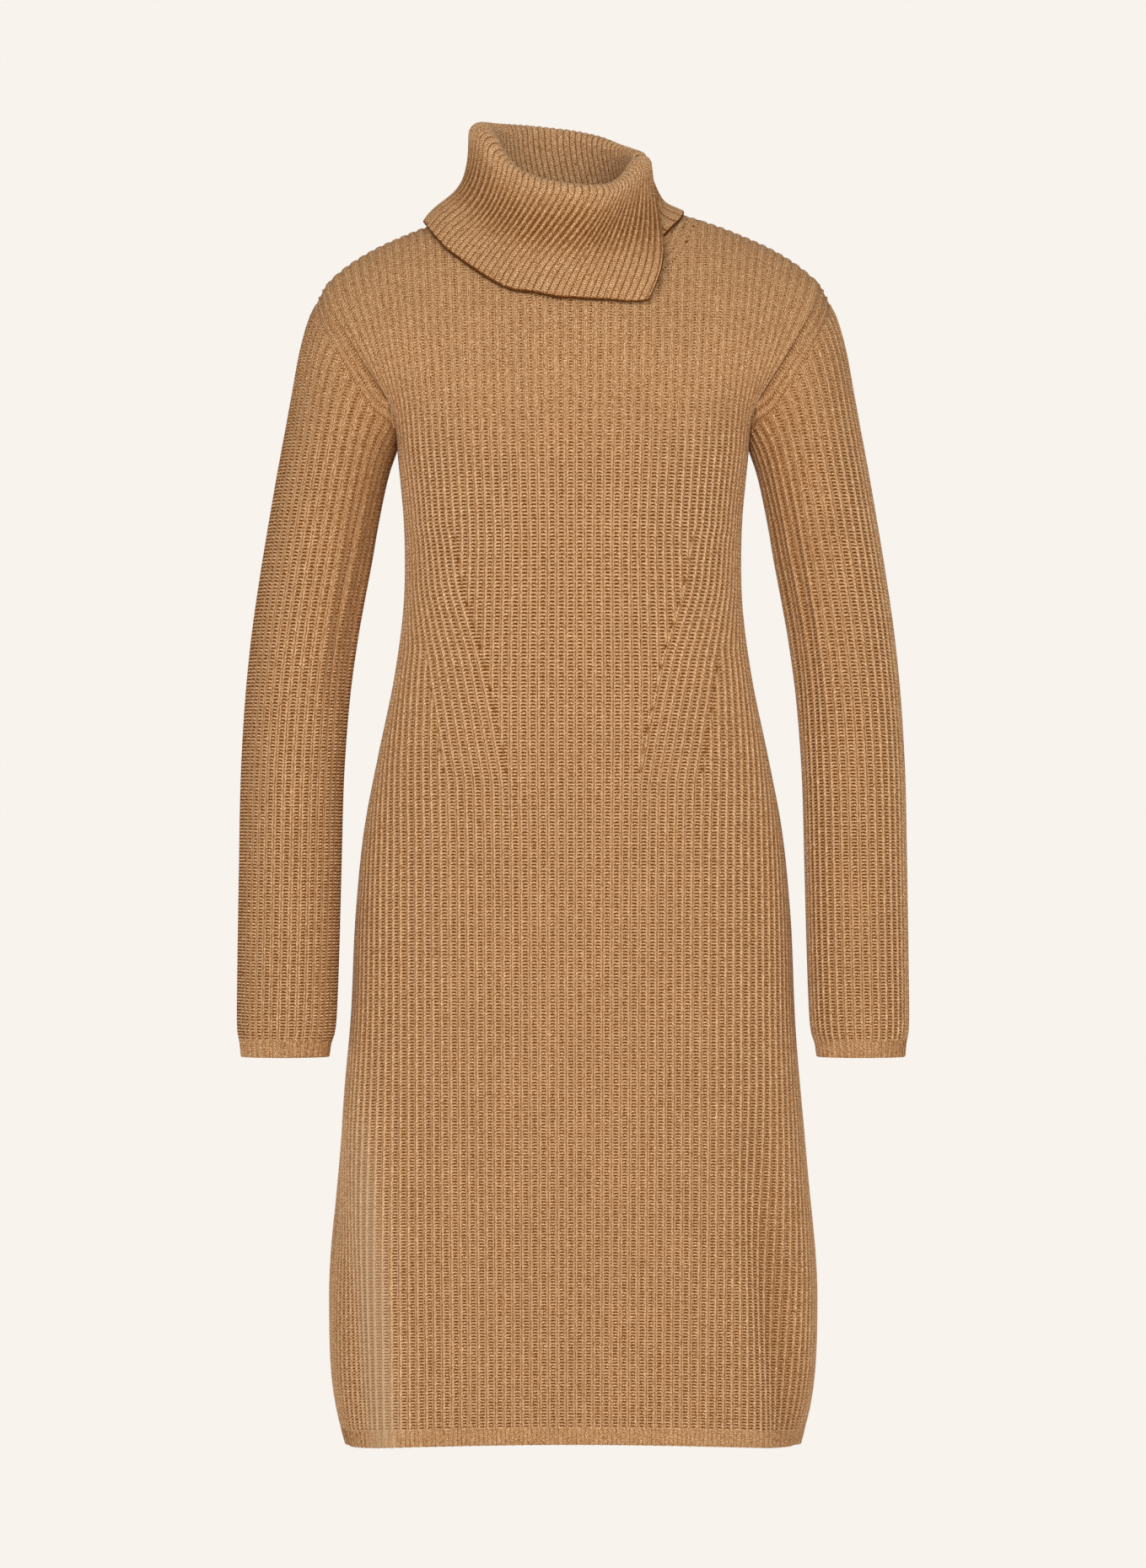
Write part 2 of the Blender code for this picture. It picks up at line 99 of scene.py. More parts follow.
bodyForm = {
    "wall": 0.0025,              # thickness of the knit
    "seamGap": 0.0008,           # between the panels at the side seams
    "underarm": -0.185,
    "shoulderSeam": 0.55,        # on the arch from front underarm 0 over the crest 0.5 to back underarm 1
    "shoulderGap": 0.005,
    "frontLean": 0.26,
    "backLean": -0.08,
    "firstRise": 1.10,
    "frontCrown": 1.30,
    "backCrown": 1.60,
    "neckHalfWidth": 0.060,
    "frontNeckArch": 0.205,
    "backNeckArch": 0.318,
    "hemRise": 0.007,            # the front hem is a little higher in the middle, from this height down
    "hemRiseFrom": -0.60,
    "foldFade": 0.08,            # share of a half ring over which folds fade out at a side seam
    "samples": 480,              # points across a panel's base form
}
bodySections = {
    "height":     [-0.987, -0.960, -0.869, -0.760, -0.651, -0.556,
                   -0.488, -0.434, -0.366, -0.311, -0.250, -0.185],
    "halfWidth":  [0.1838, 0.1905, 0.1968, 0.1885, 0.1792, 0.1748,
                   0.1677, 0.1574, 0.1435, 0.1364, 0.1358, 0.1415],
    "frontDepth": [0.116, 0.120, 0.123, 0.120, 0.116, 0.111,
                   0.105, 0.099, 0.097, 0.107, 0.118, 0.113],
    "backDepth":  [0.124, 0.128, 0.131, 0.128, 0.127, 0.124,
                   0.109, 0.089, 0.076, 0.082, 0.093, 0.098],
    "sidePower":  [0.62, 0.62, 0.62, 0.64, 0.66, 0.70,
                   0.74, 0.76, 0.78, 0.78, 0.78, 0.78],
}
yokeSections = {
    "height":    [-0.185, -0.178, -0.163, -0.142, -0.116, -0.080, -0.040, 0.050],
    "halfWidth": [0.1415, 0.1424, 0.1485, 0.1650, 0.1980, 0.2400, 0.2600, 0.2700],
}
shoulderCrest = {
    "across": [0.000, 0.030, 0.050, 0.066, 0.085, 0.100, 0.119, 0.138, 0.166, 0.186, 0.200, 0.215],
    "height": [0.0500, 0.0420, 0.0230, 0.0118, 0.0055, 0.0012,
               -0.0052, -0.0128, -0.0262, -0.0395, -0.0520, -0.0680],
}
armholeEdge = {
    "arch":  [0.000, 0.040, 0.078, 0.107, 0.150, 0.215, 0.325, 0.450, 0.500, 0.550],
    "front": [0.1415, 0.1422, 0.1450, 0.1520, 0.1630, 0.1770, 0.1930, 0.1988, 0.1992, 0.1990],
    "back":  [0.1415, 0.1428, 0.1475, 0.1560, 0.1680, 0.1810, 0.1945, 0.1990, 0.1992, 0.1990],
}
panelTop = {
    "share":  [0.0000, 0.2727, 0.5455, 0.7273, 1.0000],
    "across": [0.0000, 0.0600, 0.1165, 0.1500, 0.1990],
}
skirtFolds = {                   # side -1 is the front, a negative depth is a trough
    "side":      [-1, -1, -1, 1, 1, 1],
    "top":       [-0.600, -0.660, -0.680, -0.600, -0.640, -0.620],
    "topAcross": [-0.180, -0.200, 0.138, -0.100, 0.070, -0.012],
    "hemAcross": [-0.153, -0.172, 0.175, -0.128, 0.094, -0.020],
    "width":     [0.020, 0.017, 0.016, 0.022, 0.026, 0.030],
    "depth":     [0.0045, -0.0060, -0.0085, -0.0070, -0.0060, 0.0050],
    "shade":     [-0.15, 0.03, 0.08, 0.03, 0.03, 0],   # painted shade in the troughs; below -0.065 a greyer painted sheen on the ridge
}


def foldPush(across, height, side):
    # each fold is a bell across the skirt that grows from its top down to the hem; how far it
    # pushes the cloth, and how much painted shade it lays on the wool (painted sheen where negative)
    push, shade = np.zeros((2, *np.broadcast(across, height).shape))
    for foldSide, top, topAcross, hemAcross, width, depth, darker in zip(*skirtFolds.values()):
        if foldSide == side:
            fall = np.clip((top - height) / (top - bodySections["height"][0]), 0, 1)
            middle = topAcross + (hemAcross - topAcross) * fall
            bell = ramp(0, 0.6, fall) * np.exp(-((across - middle) / width) ** 2)
            push, shade = push + depth * bell, shade + darker * bell
    return push, shade


def halfRings(heights, side):
    # half a ring for each height: x = w sin q, y = d cos(q)^power, and the cloth's length up to each q
    depthName = "frontDepth" if side < 0 else "backDepth"
    width, depth, power = (along(bodySections, "height", name, heights)[:, None]
                           for name in ("halfWidth", depthName, "sidePower"))
    turns = math.pi / 2 * (1 - (1 - np.linspace(0, 1, 241)) ** 2)
    across = width * np.sin(turns)
    out = depth * np.maximum(np.cos(turns), 0) ** power
    steps = np.hypot(np.diff(across, axis=1), np.diff(out, axis=1))
    arc = np.concatenate((np.zeros((len(heights), 1)), np.cumsum(steps, axis=1)), axis=1)
    return width, depth, across, out, arc


def ringForm(shares, heights, side):
    # points below the underarm, by share of the half ring's cloth length, with the skirt's folds
    width, depth, across, out, arc = halfRings(heights, side)
    reach = np.minimum(np.abs(shares)[None, :] * arc[:, -1:], arc[:, -1:] - bodyForm["seamGap"] / 2)
    x = np.array([np.interp(r, a, c) for r, a, c in zip(reach, arc, across)]) * np.sign(shares)
    y = np.array([np.interp(r, a, c) for r, a, c in zip(reach, arc, out)]) * side
    z = np.repeat(heights[:, None], len(shares), axis=1)
    outward = unit(np.stack((x / width, y / depth, np.zeros_like(x)), axis=2))
    push = foldPush(x, z, side)[0] * ramp(0, bodyForm["foldFade"], 1 - np.abs(shares))
    points = np.stack((x, y, z), axis=2) + outward * push[..., None]
    if side < 0:
        lift = ramp(bodyForm["hemRiseFrom"], bodySections["height"][0], z) * (1 - (x / width) ** 2)
        points[..., 2] += bodyForm["hemRise"] * lift
    return points, arc[:, -1]


def archPoint(across, arch):
    # above the underarm: depth and rise are cubics of the place on the shoulder arch, and the
    # depth falls off sideways as a power of the section's own half width
    front = arch <= 0.5
    share = 2 * np.minimum(arch, 1 - arch)
    lean = np.where(front, bodyForm["frontLean"], bodyForm["backLean"])
    crown = np.where(front, bodyForm["frontCrown"], bodyForm["backCrown"])
    depth = bend(share, 1, 0, -lean, -crown)
    rise = bend(share, 0, 1, bodyForm["firstRise"], 0)
    base = bodyForm["underarm"]
    height = base + (along(shoulderCrest, "across", "height", np.abs(across)) - base) * rise
    reach = along(yokeSections, "height", "halfWidth", height)
    flank = np.maximum(1 - (across / reach) ** 2, 0) ** (bodySections["sidePower"][-1] / 2)
    full = np.where(front, -bodySections["frontDepth"][-1], bodySections["backDepth"][-1])
    return np.stack(np.broadcast_arrays(across, full * flank * depth, height), axis=-1)


def archFacing(across, arch):
    # outward normal above the underarm, from small steps along and across the arch
    step = 0.002
    up = archPoint(across, arch + step) - archPoint(across, arch - step)
    aside = archPoint(across + step, arch) - archPoint(across - step, arch)
    return unit(np.cross(aside, up))


def necklinePlace(turn):
    # place across and on the arch of the neckline, from the turn about the neck in degrees
    forward = np.cos(np.radians(turn))
    across = bodyForm["neckHalfWidth"] * np.sin(np.radians(turn))
    seam, low, high = bodyForm["shoulderSeam"], bodyForm["frontNeckArch"], 1 - bodyForm["backNeckArch"]
    front = low + (seam - low) * (1 - forward)
    back = high - (high - seam) * (1 + forward)
    return across, np.where(forward >= 0, front, back)


def archEnds(side):
    # the arch at the shoulder seam and at the middle of the neckline, counted from this side's underarm
    if side < 0:
        return bodyForm["shoulderSeam"], bodyForm["frontNeckArch"]
    return 1 - bodyForm["shoulderSeam"] - bodyForm["shoulderGap"], bodyForm["backNeckArch"]


def yokeForm(shares, lifts, side):
    # points above the underarm: a column leans from its place on the underarm ring to its place on
    # the shoulder, and the outermost ones follow the armhole's edge instead
    edgeName = "front" if side < 0 else "back"
    base = ringForm(shares, np.array([bodyForm["underarm"]]), side)[0][0, :, 0]
    top = np.sign(shares) * along(panelTop, "share", "across", np.abs(shares))
    seam, low = archEnds(side)
    inside = np.minimum(np.abs(top) / bodyForm["neckHalfWidth"], 1)
    fromBase = lifts[:, None] * (low + (seam - low) * (1 - np.sqrt(1 - inside ** 2)))[None, :]
    edge = along(armholeEdge, "arch", edgeName, fromBase)
    edgeBase, edgeTop = armholeEdge[edgeName][0], panelTop["across"][-1]
    nearEdge = np.abs(shares)[None, :] ** 3
    lean = lifts[:, None] + ((edge - edgeBase) / (edgeTop - edgeBase) - lifts[:, None]) * nearEdge
    across = base + (top - base) * lean
    return archPoint(across, fromBase if side < 0 else 1 - fromBase)


# The knit

knit = {
    "crest": 0.00035,            # the raised wale above the base form
    "groove": 0.00125,           # the sunk wale below it
    "phases": [0.0, 0.10, 0.19, 0.31, 0.40, 0.50, 0.75],
    "heights": [0.05, 0.42, 0.93, 0.93, 0.42, 0.05, 0.22],
    "rowsAt": [-0.95, -0.77, -0.64, -0.50, -0.43, -0.37, -0.30, -0.23, -0.19, -0.13, -0.09],
    "rowPitches": [0.00243, 0.00241, 0.00250, 0.00260, 0.00268, 0.00278, 0.00290, 0.00284, 0.00270,
                   0.00248, 0.00246],
    "bandRowPitch": 0.0025,      # courses of the bands along the neckline and the armholes
    "bandHeight": 0.0112,        # tight band at hem and cuffs
    "edgeRound": 0.0009,         # how far the face turns in at an edge, and over what length
    "edgeReach": 0.0022,
    "bandTight": 0.7,            # marks the bands, with two fine ribs to each one above them
    "neckFade": 0.0016,          # length over which ribs sink where a parallel band begins
}


def ribRelief(rib):
    # height of the cloth's face over a rib: one rounded raised wale and one flatter sunk wale
    phases = np.array(knit["phases"] + [1.0])
    heights = np.array(knit["heights"] + [knit["heights"][0]])
    share = np.interp(rib % 1, phases, heights)
    return -knit["groove"] + (knit["crest"] + knit["groove"]) * share


def coursesUp(points):
    # courses counted up each column of a grid: its steps over the height's own row pitch, added up
    steps = np.linalg.norm(np.diff(points, axis=0), axis=2)
    heights = (points[1:, :, 2] + points[:-1, :, 2]) / 2
    steps = steps / np.interp(heights, knit["rowsAt"], knit["rowPitches"])
    return np.concatenate((np.zeros((1, points.shape[1])), np.cumsum(steps, axis=0)))


def flatten(relief, distance, reach=0.0025):
    # the relief sinks to the groove's level at a line where ribs end or begin
    low = -knit["groove"] * 0.95
    return low + (relief - low) * ramp(0, reach, distance)


def roundEdge(distance):
    # the face turns in along a quarter circle over the last stretch before an edge
    inside = np.clip(1 - distance / knit["edgeReach"], 0, 1)
    return -knit["edgeRound"] * (1 - np.sqrt(1 - inside ** 2))


def cornerStack(index, left, right, grids, turned):
    # the quads of a grid with data at each corner: the vertex, the rib number as its own side of a
    # shaped line has it, and any further grids.  Quads with a collapsed side become triangles.
    def corners(onRight, onLeft):
        return np.stack((onRight[:-1, :-1], onLeft[:-1, 1:], onLeft[1:, 1:], onRight[1:, :-1]), axis=-1)
    parts = [corners(index, index), corners(right, left)] + [corners(grid, grid) for grid in grids]
    stack = np.stack(parts, axis=-1).reshape(-1, 4, len(parts))
    if turned:
        stack = stack[:, ::-1]
    fresh = stack[:, :, 0] != np.roll(stack[:, :, 0], -1, axis=1)
    three = fresh.sum(axis=1) == 3
    return [stack[fresh.all(axis=1)], stack[three][fresh[three]].reshape(-1, 3, len(parts))]


def shellMesh(name, outer, inner, keep, merged, ribs, course, edging, share, tube=False):
    # closed shell of an outer grid, an inner grid on the kept columns only, and the strips between.
    # merged marks grid points that coincide with the one before in their row, ribs holds the rib
    # number on each point's left and right, edging the shaped band's rib and course, how tight the
    # knit is, how far its ribs are pinched together, how far off the line where ribs end lies and
    # how much painted shade lies on the wool, painted light where it is negative.
    rows, columns = outer.shape[:2]
    outerIndex = np.maximum.accumulate(
        np.where(merged, -1, np.arange(rows * columns).reshape(rows, columns)), axis=1)
    innerOwn = rows * columns + np.arange(rows * len(keep)).reshape(rows, len(keep))
    same = outerIndex[:, keep][:, 1:] == outerIndex[:, keep][:, :-1]
    same = np.concatenate((np.zeros((rows, 1), bool), same), axis=1)
    innerIndex = np.maximum.accumulate(np.where(same, -1, innerOwn), axis=1)
    if tube:
        outerIndex[:, -1], innerIndex[:, -1] = outerIndex[:, 0], innerIndex[:, 0]
    left, right = ribs
    wide = 0.008 + 0.984 * share
    upOuter = np.broadcast_to(np.linspace(0.012, 0.735, rows)[:, None], outer.shape[:2])
    upInner = np.broadcast_to(np.linspace(0.765, 0.955, rows)[:, None], (rows, len(keep)))
    outerGrids = [course, wide, upOuter, *np.moveaxis(edging, 2, 0)]
    innerGrids = [course[:, keep], wide[:, keep], upInner, *np.moveaxis(edging[:, keep], 2, 0)]
    groups = cornerStack(outerIndex, left, right, outerGrids, False)
    groups += cornerStack(innerIndex, left[:, keep], right[:, keep], innerGrids, True)

    def corner(index, row, column, stripX, stripY):
        # one corner of an edge strip
        return [index, right[row, column], course[row, column], stripX, stripY, *edging[row, column]]

    for row, stripY in ((0, 0.966), (rows - 1, 0.984)):
        for spot, (first, last) in enumerate(zip(keep, keep[1:])):
            face = [corner(outerIndex[row, column], row, column, wide[row, column], stripY)
                    for column in range(first, last + 1)]
            face += [corner(innerIndex[row, spot + 1], row, last, wide[row, last], stripY + 0.01),
                     corner(innerIndex[row, spot], row, first, wide[row, first], stripY + 0.01)]
            face = [item for item, before in zip(face, face[-1:] + face[:-1]) if item[0] != before[0]]
            if len(face) > 2:
                groups.append(np.array([face[::-1] if row == 0 else face]))
    if not tube:
        tall = np.linspace(0.012, 0.955, rows)
        for column, spot, x in ((0, 0, 0.001), (columns - 1, -1, 0.995)):
            cells = []
            for index, stripX, part in ((outerIndex[:, column], x, slice(0, -1)),
                                        (outerIndex[:, column], x, slice(1, None)),
                                        (innerIndex[:, spot], x + 0.004, slice(1, None)),
                                        (innerIndex[:, spot], x + 0.004, slice(0, -1))):
                cells.append(np.column_stack((index[part], right[part, column], course[part, column],
                                              np.full(rows - 1, stripX), tall[part], edging[part, column])))
            side = np.stack(cells, axis=1)
            groups.append(side[:, ::-1] if column else side)

    groups = [group for group in groups if len(group)]
    corners = np.concatenate([group.reshape(-1, group.shape[2]) for group in groups])
    sizes = np.concatenate([np.full(len(group), group.shape[1]) for group in groups])
    used, loopIndex = np.unique(corners[:, 0].astype(int), return_inverse=True)
    points = np.concatenate((outer.reshape(-1, 3), inner.reshape(-1, 3)))[used]

    mesh = bpy.data.meshes.new(name)
    mesh.vertices.add(len(points))
    mesh.loops.add(len(loopIndex))
    mesh.polygons.add(len(sizes))
    mesh.vertices.foreach_set("co", points.astype(np.float32).ravel())
    mesh.loops.foreach_set("vertex_index", loopIndex.ravel().astype(np.int32))
    mesh.polygons.foreach_set("loop_start", np.concatenate(([0], np.cumsum(sizes)[:-1])).astype(np.int32))
    mesh.update(calc_edges=True)
    for mapName, columnsUsed in (("OFBake", (3, 4)), ("knit", (1, 2)), ("edging", (5, 6))):
        layer = mesh.uv_layers.new(name=mapName)
        layer.data.foreach_set("uv", corners[:, columnsUsed].astype(np.float32).ravel())
    for attributeName, column in (("tight", 7), ("pinch", 8), ("fromLine", 9), ("shade", 10)):
        layer = mesh.attributes.new(attributeName, "FLOAT", "CORNER")
        layer.data.foreach_set("value", corners[:, column].astype(np.float32))
    mesh.validate()
    mesh.shade_smooth()
    piece = bpy.data.objects.new(name, mesh)
    bpy.context.scene.collection.objects.link(piece)
    print(name, "has", int((sizes - 2).sum()), "triangles")
    return piece


# Front and back panels

panelKnit = {
    "pitchAt": [-0.91, -0.77, -0.57, -0.50, -0.434, -0.366, -0.30, -0.26, -0.185, -0.10],
    "pitch": [0.00707, 0.00717, 0.00727, 0.00733, 0.00750, 0.00756, 0.00740, 0.00732, 0.00766, 0.00770],
    "dartHeight": [-0.500, -0.453, -0.402, -0.354, -0.315, -0.298, -0.257, -0.230, -0.200],
    "dartAcross": [0.0460, 0.0517, 0.0612, 0.0714, 0.0836, 0.0891, 0.0952, 0.1020, 0.1160],
    "middleRibs": 14,            # ribs inside the dart line at the chest
    "waistRibs": 7,              # what is left of them at the waist
    "sideRibs": 7,               # leaning ribs outside the dart line
    "newRibs": 3,                # ribs that begin again in the skirt
    "flankRibs": 21,
    "flareFrom": -0.345,
    "rowStep": 0.009,
    "yokeRows": 22,
    "neckRibs": 6.5,             # ribs that run parallel to the neckline
    "neckPitch": 0.0070,
    "neckFull": 0.8,             # share of the neckline's half width from which all of them show
    "neckRowStep": 0.0014,
    "armholeLevel": -0.0002,     # the face's height where it meets the sleeve
    "flatBelow": -0.215,         # between these heights the ribs flatten towards the shoulders
    "flatAbove": -0.120,
    "roundDepth": 0.0011,        # grooves between the closed, rounded ribs of the shoulders
    "sideFlat": 0.5,             # how much flatter they are at the skirt's sides
    "sideFlatWide": (0.02, 0.09),
    "sideFlatTall": (-0.42, -0.62),
    "armholeReach": 0.0045,      # the face settles to the armhole's level over this length
    "hemRows": [0, 0.0012, 0.004, 0.008],
    "pinched": {                 # zones beside the armhole, the waist and the skirt's sides, where ribs close up and their grooves take painted shade
        "height": [-0.165, -0.340, -0.780],
        "tall":   [0.070, 0.120, 0.330],
        "wide":   [0.095, 0.120, 0.110],
        "depth":  [0.85, 0.75, 0.70],
    },
}


def ribLines(heights, halfLength, side):
    # for each row and each column of whole ribs and their phases: the place along the half ring,
    # and the rib number on either side of the lines where ribs end or begin
    plan = panelKnit
    pitch = np.interp(heights, plan["pitchAt"], plan["pitch"])[:, None]
    levels = np.maximum(heights, plan["flareFrom"])

    def dartPlace(levels, pitches):
        # cloth length from the centre line to the dart line, kept between its least and most ribs
        _, _, across, _, arc = halfRings(levels, side)
        wanted = np.interp(levels, plan["dartHeight"], plan["dartAcross"])
        place = np.array([np.interp(w, a, l) for w, a, l in zip(wanted, across, arc)])[:, None]
        return np.clip(place, plan["waistRibs"] * pitches, plan["middleRibs"] * pitches)

    dart = dartPlace(heights, pitch)
    levelPitch = np.interp(levels, plan["pitchAt"], plan["pitch"])[:, None]
    flank = (dartPlace(levels, levelPitch) / levelPitch + plan["sideRibs"]) * pitch
    sideEnd = dart + plan["sideRibs"] * pitch
    one = plan["middleRibs"]
    two = one + plan["sideRibs"]
    three = two + plan["newRibs"]
    most = three + plan["flankRibs"]
    numbers = np.arange(-most, most)[:, None] + np.array(knit["phases"])[None, :]
    numbers = np.append(numbers.ravel(), most)
    ribs = np.abs(numbers)[None, :]
    middle = np.minimum(ribs * pitch, dart)
    aside = dart + (ribs - one) * pitch
    fresh = np.maximum(flank - (three - ribs) * pitch, sideEnd)
    outside = flank + (ribs - three) * pitch
    place = np.select([ribs <= one, ribs <= two, ribs < three], [middle, aside, fresh], outside)
    place = np.minimum(place, halfLength[:, None])
    counts = [place / pitch, one + (place - dart) / pitch, three - (flank - place) / pitch]
    beyond = three + (place - flank) / pitch
    onInside = np.select([ribs <= one, ribs <= two, ribs <= three], counts, beyond)
    onOutside = np.select([ribs < one, ribs < two, ribs < three], counts, beyond)
    ending = (dart < one * pitch - 1e-6) & (dart > plan["waistRibs"] * pitch + 1e-6)
    starting = (sideEnd < flank - 1e-6) & (sideEnd > flank - plan["newRibs"] * pitch + 1e-6)
    nearLine = np.minimum(np.where(ending, np.abs(place - dart), 1),
                          np.where(starting, np.abs(place - sideEnd), 1))
    minus = numbers[None, :] < 0
    sign = np.where(minus, -1, 1)
    left = sign * np.where(minus, onOutside, onInside)
    right = sign * np.where(minus, onInside, onOutside)
    keep = list(range(0, len(numbers), len(knit["phases"])))
    return sign * place, left, right, nearLine, keep


def panelPiece(name, side):
    # a panel: the ribs' places below the underarm, carried on above it, with the face raised by the
    # ribs' relief and the lining one wall below it
    plan = panelKnit
    hem, under = bodySections["height"][0], bodyForm["underarm"]
    steps = round((under - hem - knit["bandHeight"]) / plan["rowStep"])
    heights = np.concatenate((hem + np.array(plan["hemRows"]),
                              np.linspace(hem + knit["bandHeight"], under, steps + 1)))
    tees = np.linspace(-1, 1, bodyForm["samples"] + 1)
    form, halfLength = ringForm(tees * -side, heights, side)

    # rows above the underarm: wide ones first, close ones under the neckline
    middle = lengthsUp(yokeForm(tees * -side, np.linspace(0, 1, 401), side))[-1, len(tees) // 2]
    closeLength = plan["neckRibs"] * plan["neckPitch"] + 0.002
    closeRows = round(closeLength / plan["neckRowStep"])
    wideShare = 1 - closeLength / middle
    lifts = np.concatenate((np.linspace(0, wideShare, plan["yokeRows"] + 1)[1:],
                            np.linspace(wideShare, 1, closeRows + 1)[1:]))
    yoke = yokeForm(tees * -side, lifts, side)
    form = np.concatenate((form, yoke))
    normals = facing(form)
    yokeCourses = coursesUp(np.concatenate((form[len(heights) - 1:len(heights)], yoke)))[1:]

    place, left, right, nearLine, keep = ribLines(heights, halfLength, side)
    ownShare, left, right = (np.concatenate((grid, np.repeat(grid[-1:], len(lifts), axis=0)))
                             for grid in (place / halfLength[:, None], left, right))
    nearLine = np.concatenate((nearLine, np.ones((len(lifts), place.shape[1]))))
    outer = np.array([readRow(tees, share, row) for share, row in zip(ownShare, form)])
    normal = unit(np.array([readRow(tees, share, row) for share, row in zip(ownShare, normals)]))

    below = np.zeros((len(heights), 1, 3))
    below[:, 0, 2] = heights
    below = coursesUp(below)
    above = np.array([np.interp(share, tees, row)
                      for share, row in zip(ownShare[len(heights):], yokeCourses)])
    course = np.concatenate((np.repeat(below, place.shape[1], axis=1), below[-1] + above))

    # distance to the neckline and place along it
    top = np.linspace(-1, 1, 161) * bodyForm["neckHalfWidth"]
    seam, low = archEnds(side)
    arch = low + (seam - low) * (1 - np.sqrt(1 - (top / bodyForm["neckHalfWidth"]) ** 2))
    neckline = archPoint(top, arch if side < 0 else 1 - arch)
    alongNeck = np.concatenate(([0], np.cumsum(np.linalg.norm(np.diff(neckline, axis=0), axis=1))))
    high = outer[len(heights):]
    gaps = np.linalg.norm(high[:, :, None, :] - neckline[None, None, :, :], axis=3)
    nearest = gaps.argmin(axis=2)
    toNeck, alongCourse, alongside = np.stack((np.ones(outer.shape[:2]), *np.zeros((2, *outer.shape[:2]))))
    toNeck[len(heights):] = gaps.min(axis=2)
    alongCourse[len(heights):] = alongNeck[nearest] / knit["bandRowPitch"]
    alongside[len(heights):] = np.abs(top[nearest]) / bodyForm["neckHalfWidth"]
    neckRib = toNeck / plan["neckPitch"] - plan["neckRibs"] * np.minimum(alongside / plan["neckFull"], 1)

    relief = flatten(ribRelief(left), nearLine)
    relief = relief + (ribRelief(neckRib) - relief) * (neckRib < 0)
    relief = flatten(relief, np.abs(neckRib) * plan["neckPitch"], knit["neckFade"])
    fromCrest = np.abs((np.where(neckRib < 0, neckRib, left) + 0.25) % 1 - 0.5) * 2
    rounded = knit["crest"] - plan["roundDepth"] * fromCrest ** 2.4
    relief = relief + (rounded - relief) * ramp(plan["flatBelow"], plan["flatAbove"], outer[..., 2])
    lengths = np.concatenate((halfLength, np.full(len(lifts), halfLength[-1])))[:, None]
    fromSide = (1 - np.abs(ownShare)) * lengths
    flatSide = (1 - ramp(*plan["sideFlatWide"], fromSide)) * ramp(*plan["sideFlatTall"], outer[..., 2])
    relief = relief * (1 - plan["sideFlat"] * flatSide)
    edgeDistance = np.minimum(fromSide, np.concatenate((heights - hem, (1 - lifts) * middle))[:, None])
    tight = np.zeros(outer.shape[:2])
    tight[:5] = knit["bandTight"]
    pinch = sum(depth * np.exp(-((outer[..., 2] - height) / tall) ** 2)
                * (1 - ramp(0.2 * wide, wide, fromSide))
                for height, tall, wide, depth in zip(*plan["pinched"].values()))
    fromLine = np.minimum(nearLine, 0.02) * 100
    # painted shade in the skirt's troughs and a painted sheen on its front ridge
    shade = foldPush(outer[..., 0], outer[..., 2], side)[1]
    edging = np.stack((neckRib, alongCourse, tight, np.minimum(pinch, 1), fromLine, shade), axis=2)
    merged = np.zeros(outer.shape[:2], bool)
    merged[:, 1:] = np.abs(np.diff(ownShare, axis=1)) < 1e-7
    nearArmhole = 1 - ramp(0, plan["armholeReach"], fromSide)
    nearArmhole = nearArmhole * (np.arange(len(outer)) > len(heights) - 1)[:, None]
    relief = relief + roundEdge(edgeDistance) * (1 - nearArmhole)
    relief = relief + (plan["armholeLevel"] - relief) * nearArmhole
    face = outer + normal * relief[..., None]
    lining = (outer - normal * bodyForm["wall"])[:, keep]
    return shellMesh(name, face, lining, keep, merged, (left, right), course, edging, (ownShare + 1) / 2)


# Sleeves

sleeveRings = {                  # outer and inner line as seen from the front, middle and half depth
    "ring":   list(range(17)),
    "outerX": [0.1990, 0.2037, 0.2130, 0.2205, 0.2258, 0.2320, 0.2385, 0.2452, 0.2522,
               0.2590, 0.2642, 0.2674, 0.2686, 0.2696, 0.2698, 0.2676, 0.2668],
    "outerZ": [-0.0500, -0.0585, -0.0790, -0.1060, -0.1350, -0.1690, -0.2040, -0.2430, -0.2860,
               -0.3340, -0.3880, -0.4480, -0.5200, -0.6000, -0.6480, -0.6630, -0.6735],
    "innerX": [0.1415, 0.1430, 0.1450, 0.1478, 0.1510, 0.1544, 0.1582, 0.1624, 0.1677,
               0.1740, 0.1802, 0.1845, 0.1864, 0.1884, 0.1906, 0.1944, 0.1957],
    "innerZ": [-0.1850, -0.1890, -0.1945, -0.2025, -0.2150, -0.2310, -0.2510, -0.2760, -0.3040,
               -0.3400, -0.3880, -0.4480, -0.5200, -0.6000, -0.6480, -0.6630, -0.6735],
    "middleY": [0.000, 0.000, 0.001, 0.002, 0.003, 0.004, 0.004, 0.004, 0.003,
                0.001, -0.003, -0.009, -0.017, -0.025, -0.029, -0.030, -0.031],
    "halfDepth": [0.0590, 0.0590, 0.0585, 0.0575, 0.0560, 0.0545, 0.0530, 0.0520, 0.0510,
                  0.0500, 0.0485, 0.0470, 0.0450, 0.0430, 0.0415, 0.0370, 0.0360],
}
sleeveKnit = {
    "armholeGap": 0.0002,
    "blendRings": 4,             # rings over which the sleeve leaves the armhole's outline
    "ribs": 38,
    "armholeRibs": 2.5,          # ribs that run parallel to the armhole
    "armholePitch": 0.0070,
    "closeRows": 15,
    "closeStep": 0.0013,
    "rows": 62,
    "pinchTurn": 150,            # the ribs crowd together on the inner front of the upper sleeve, with painted shade in their grooves
    "pinchDepth": 0.9,
    "pinchSpread": 55,
    "pinchAlong": (0.10, 0.55),
    "bandEnd": (-0.95, -0.35),   # cosines of the turns between which the armhole's band runs out
    "edgeRise": (-0.001, 0.0035),
    "shade": 0.02,               # painted shade: the sleeves are a little darker, most on the inner front
    "innerShade": 0.06,
}
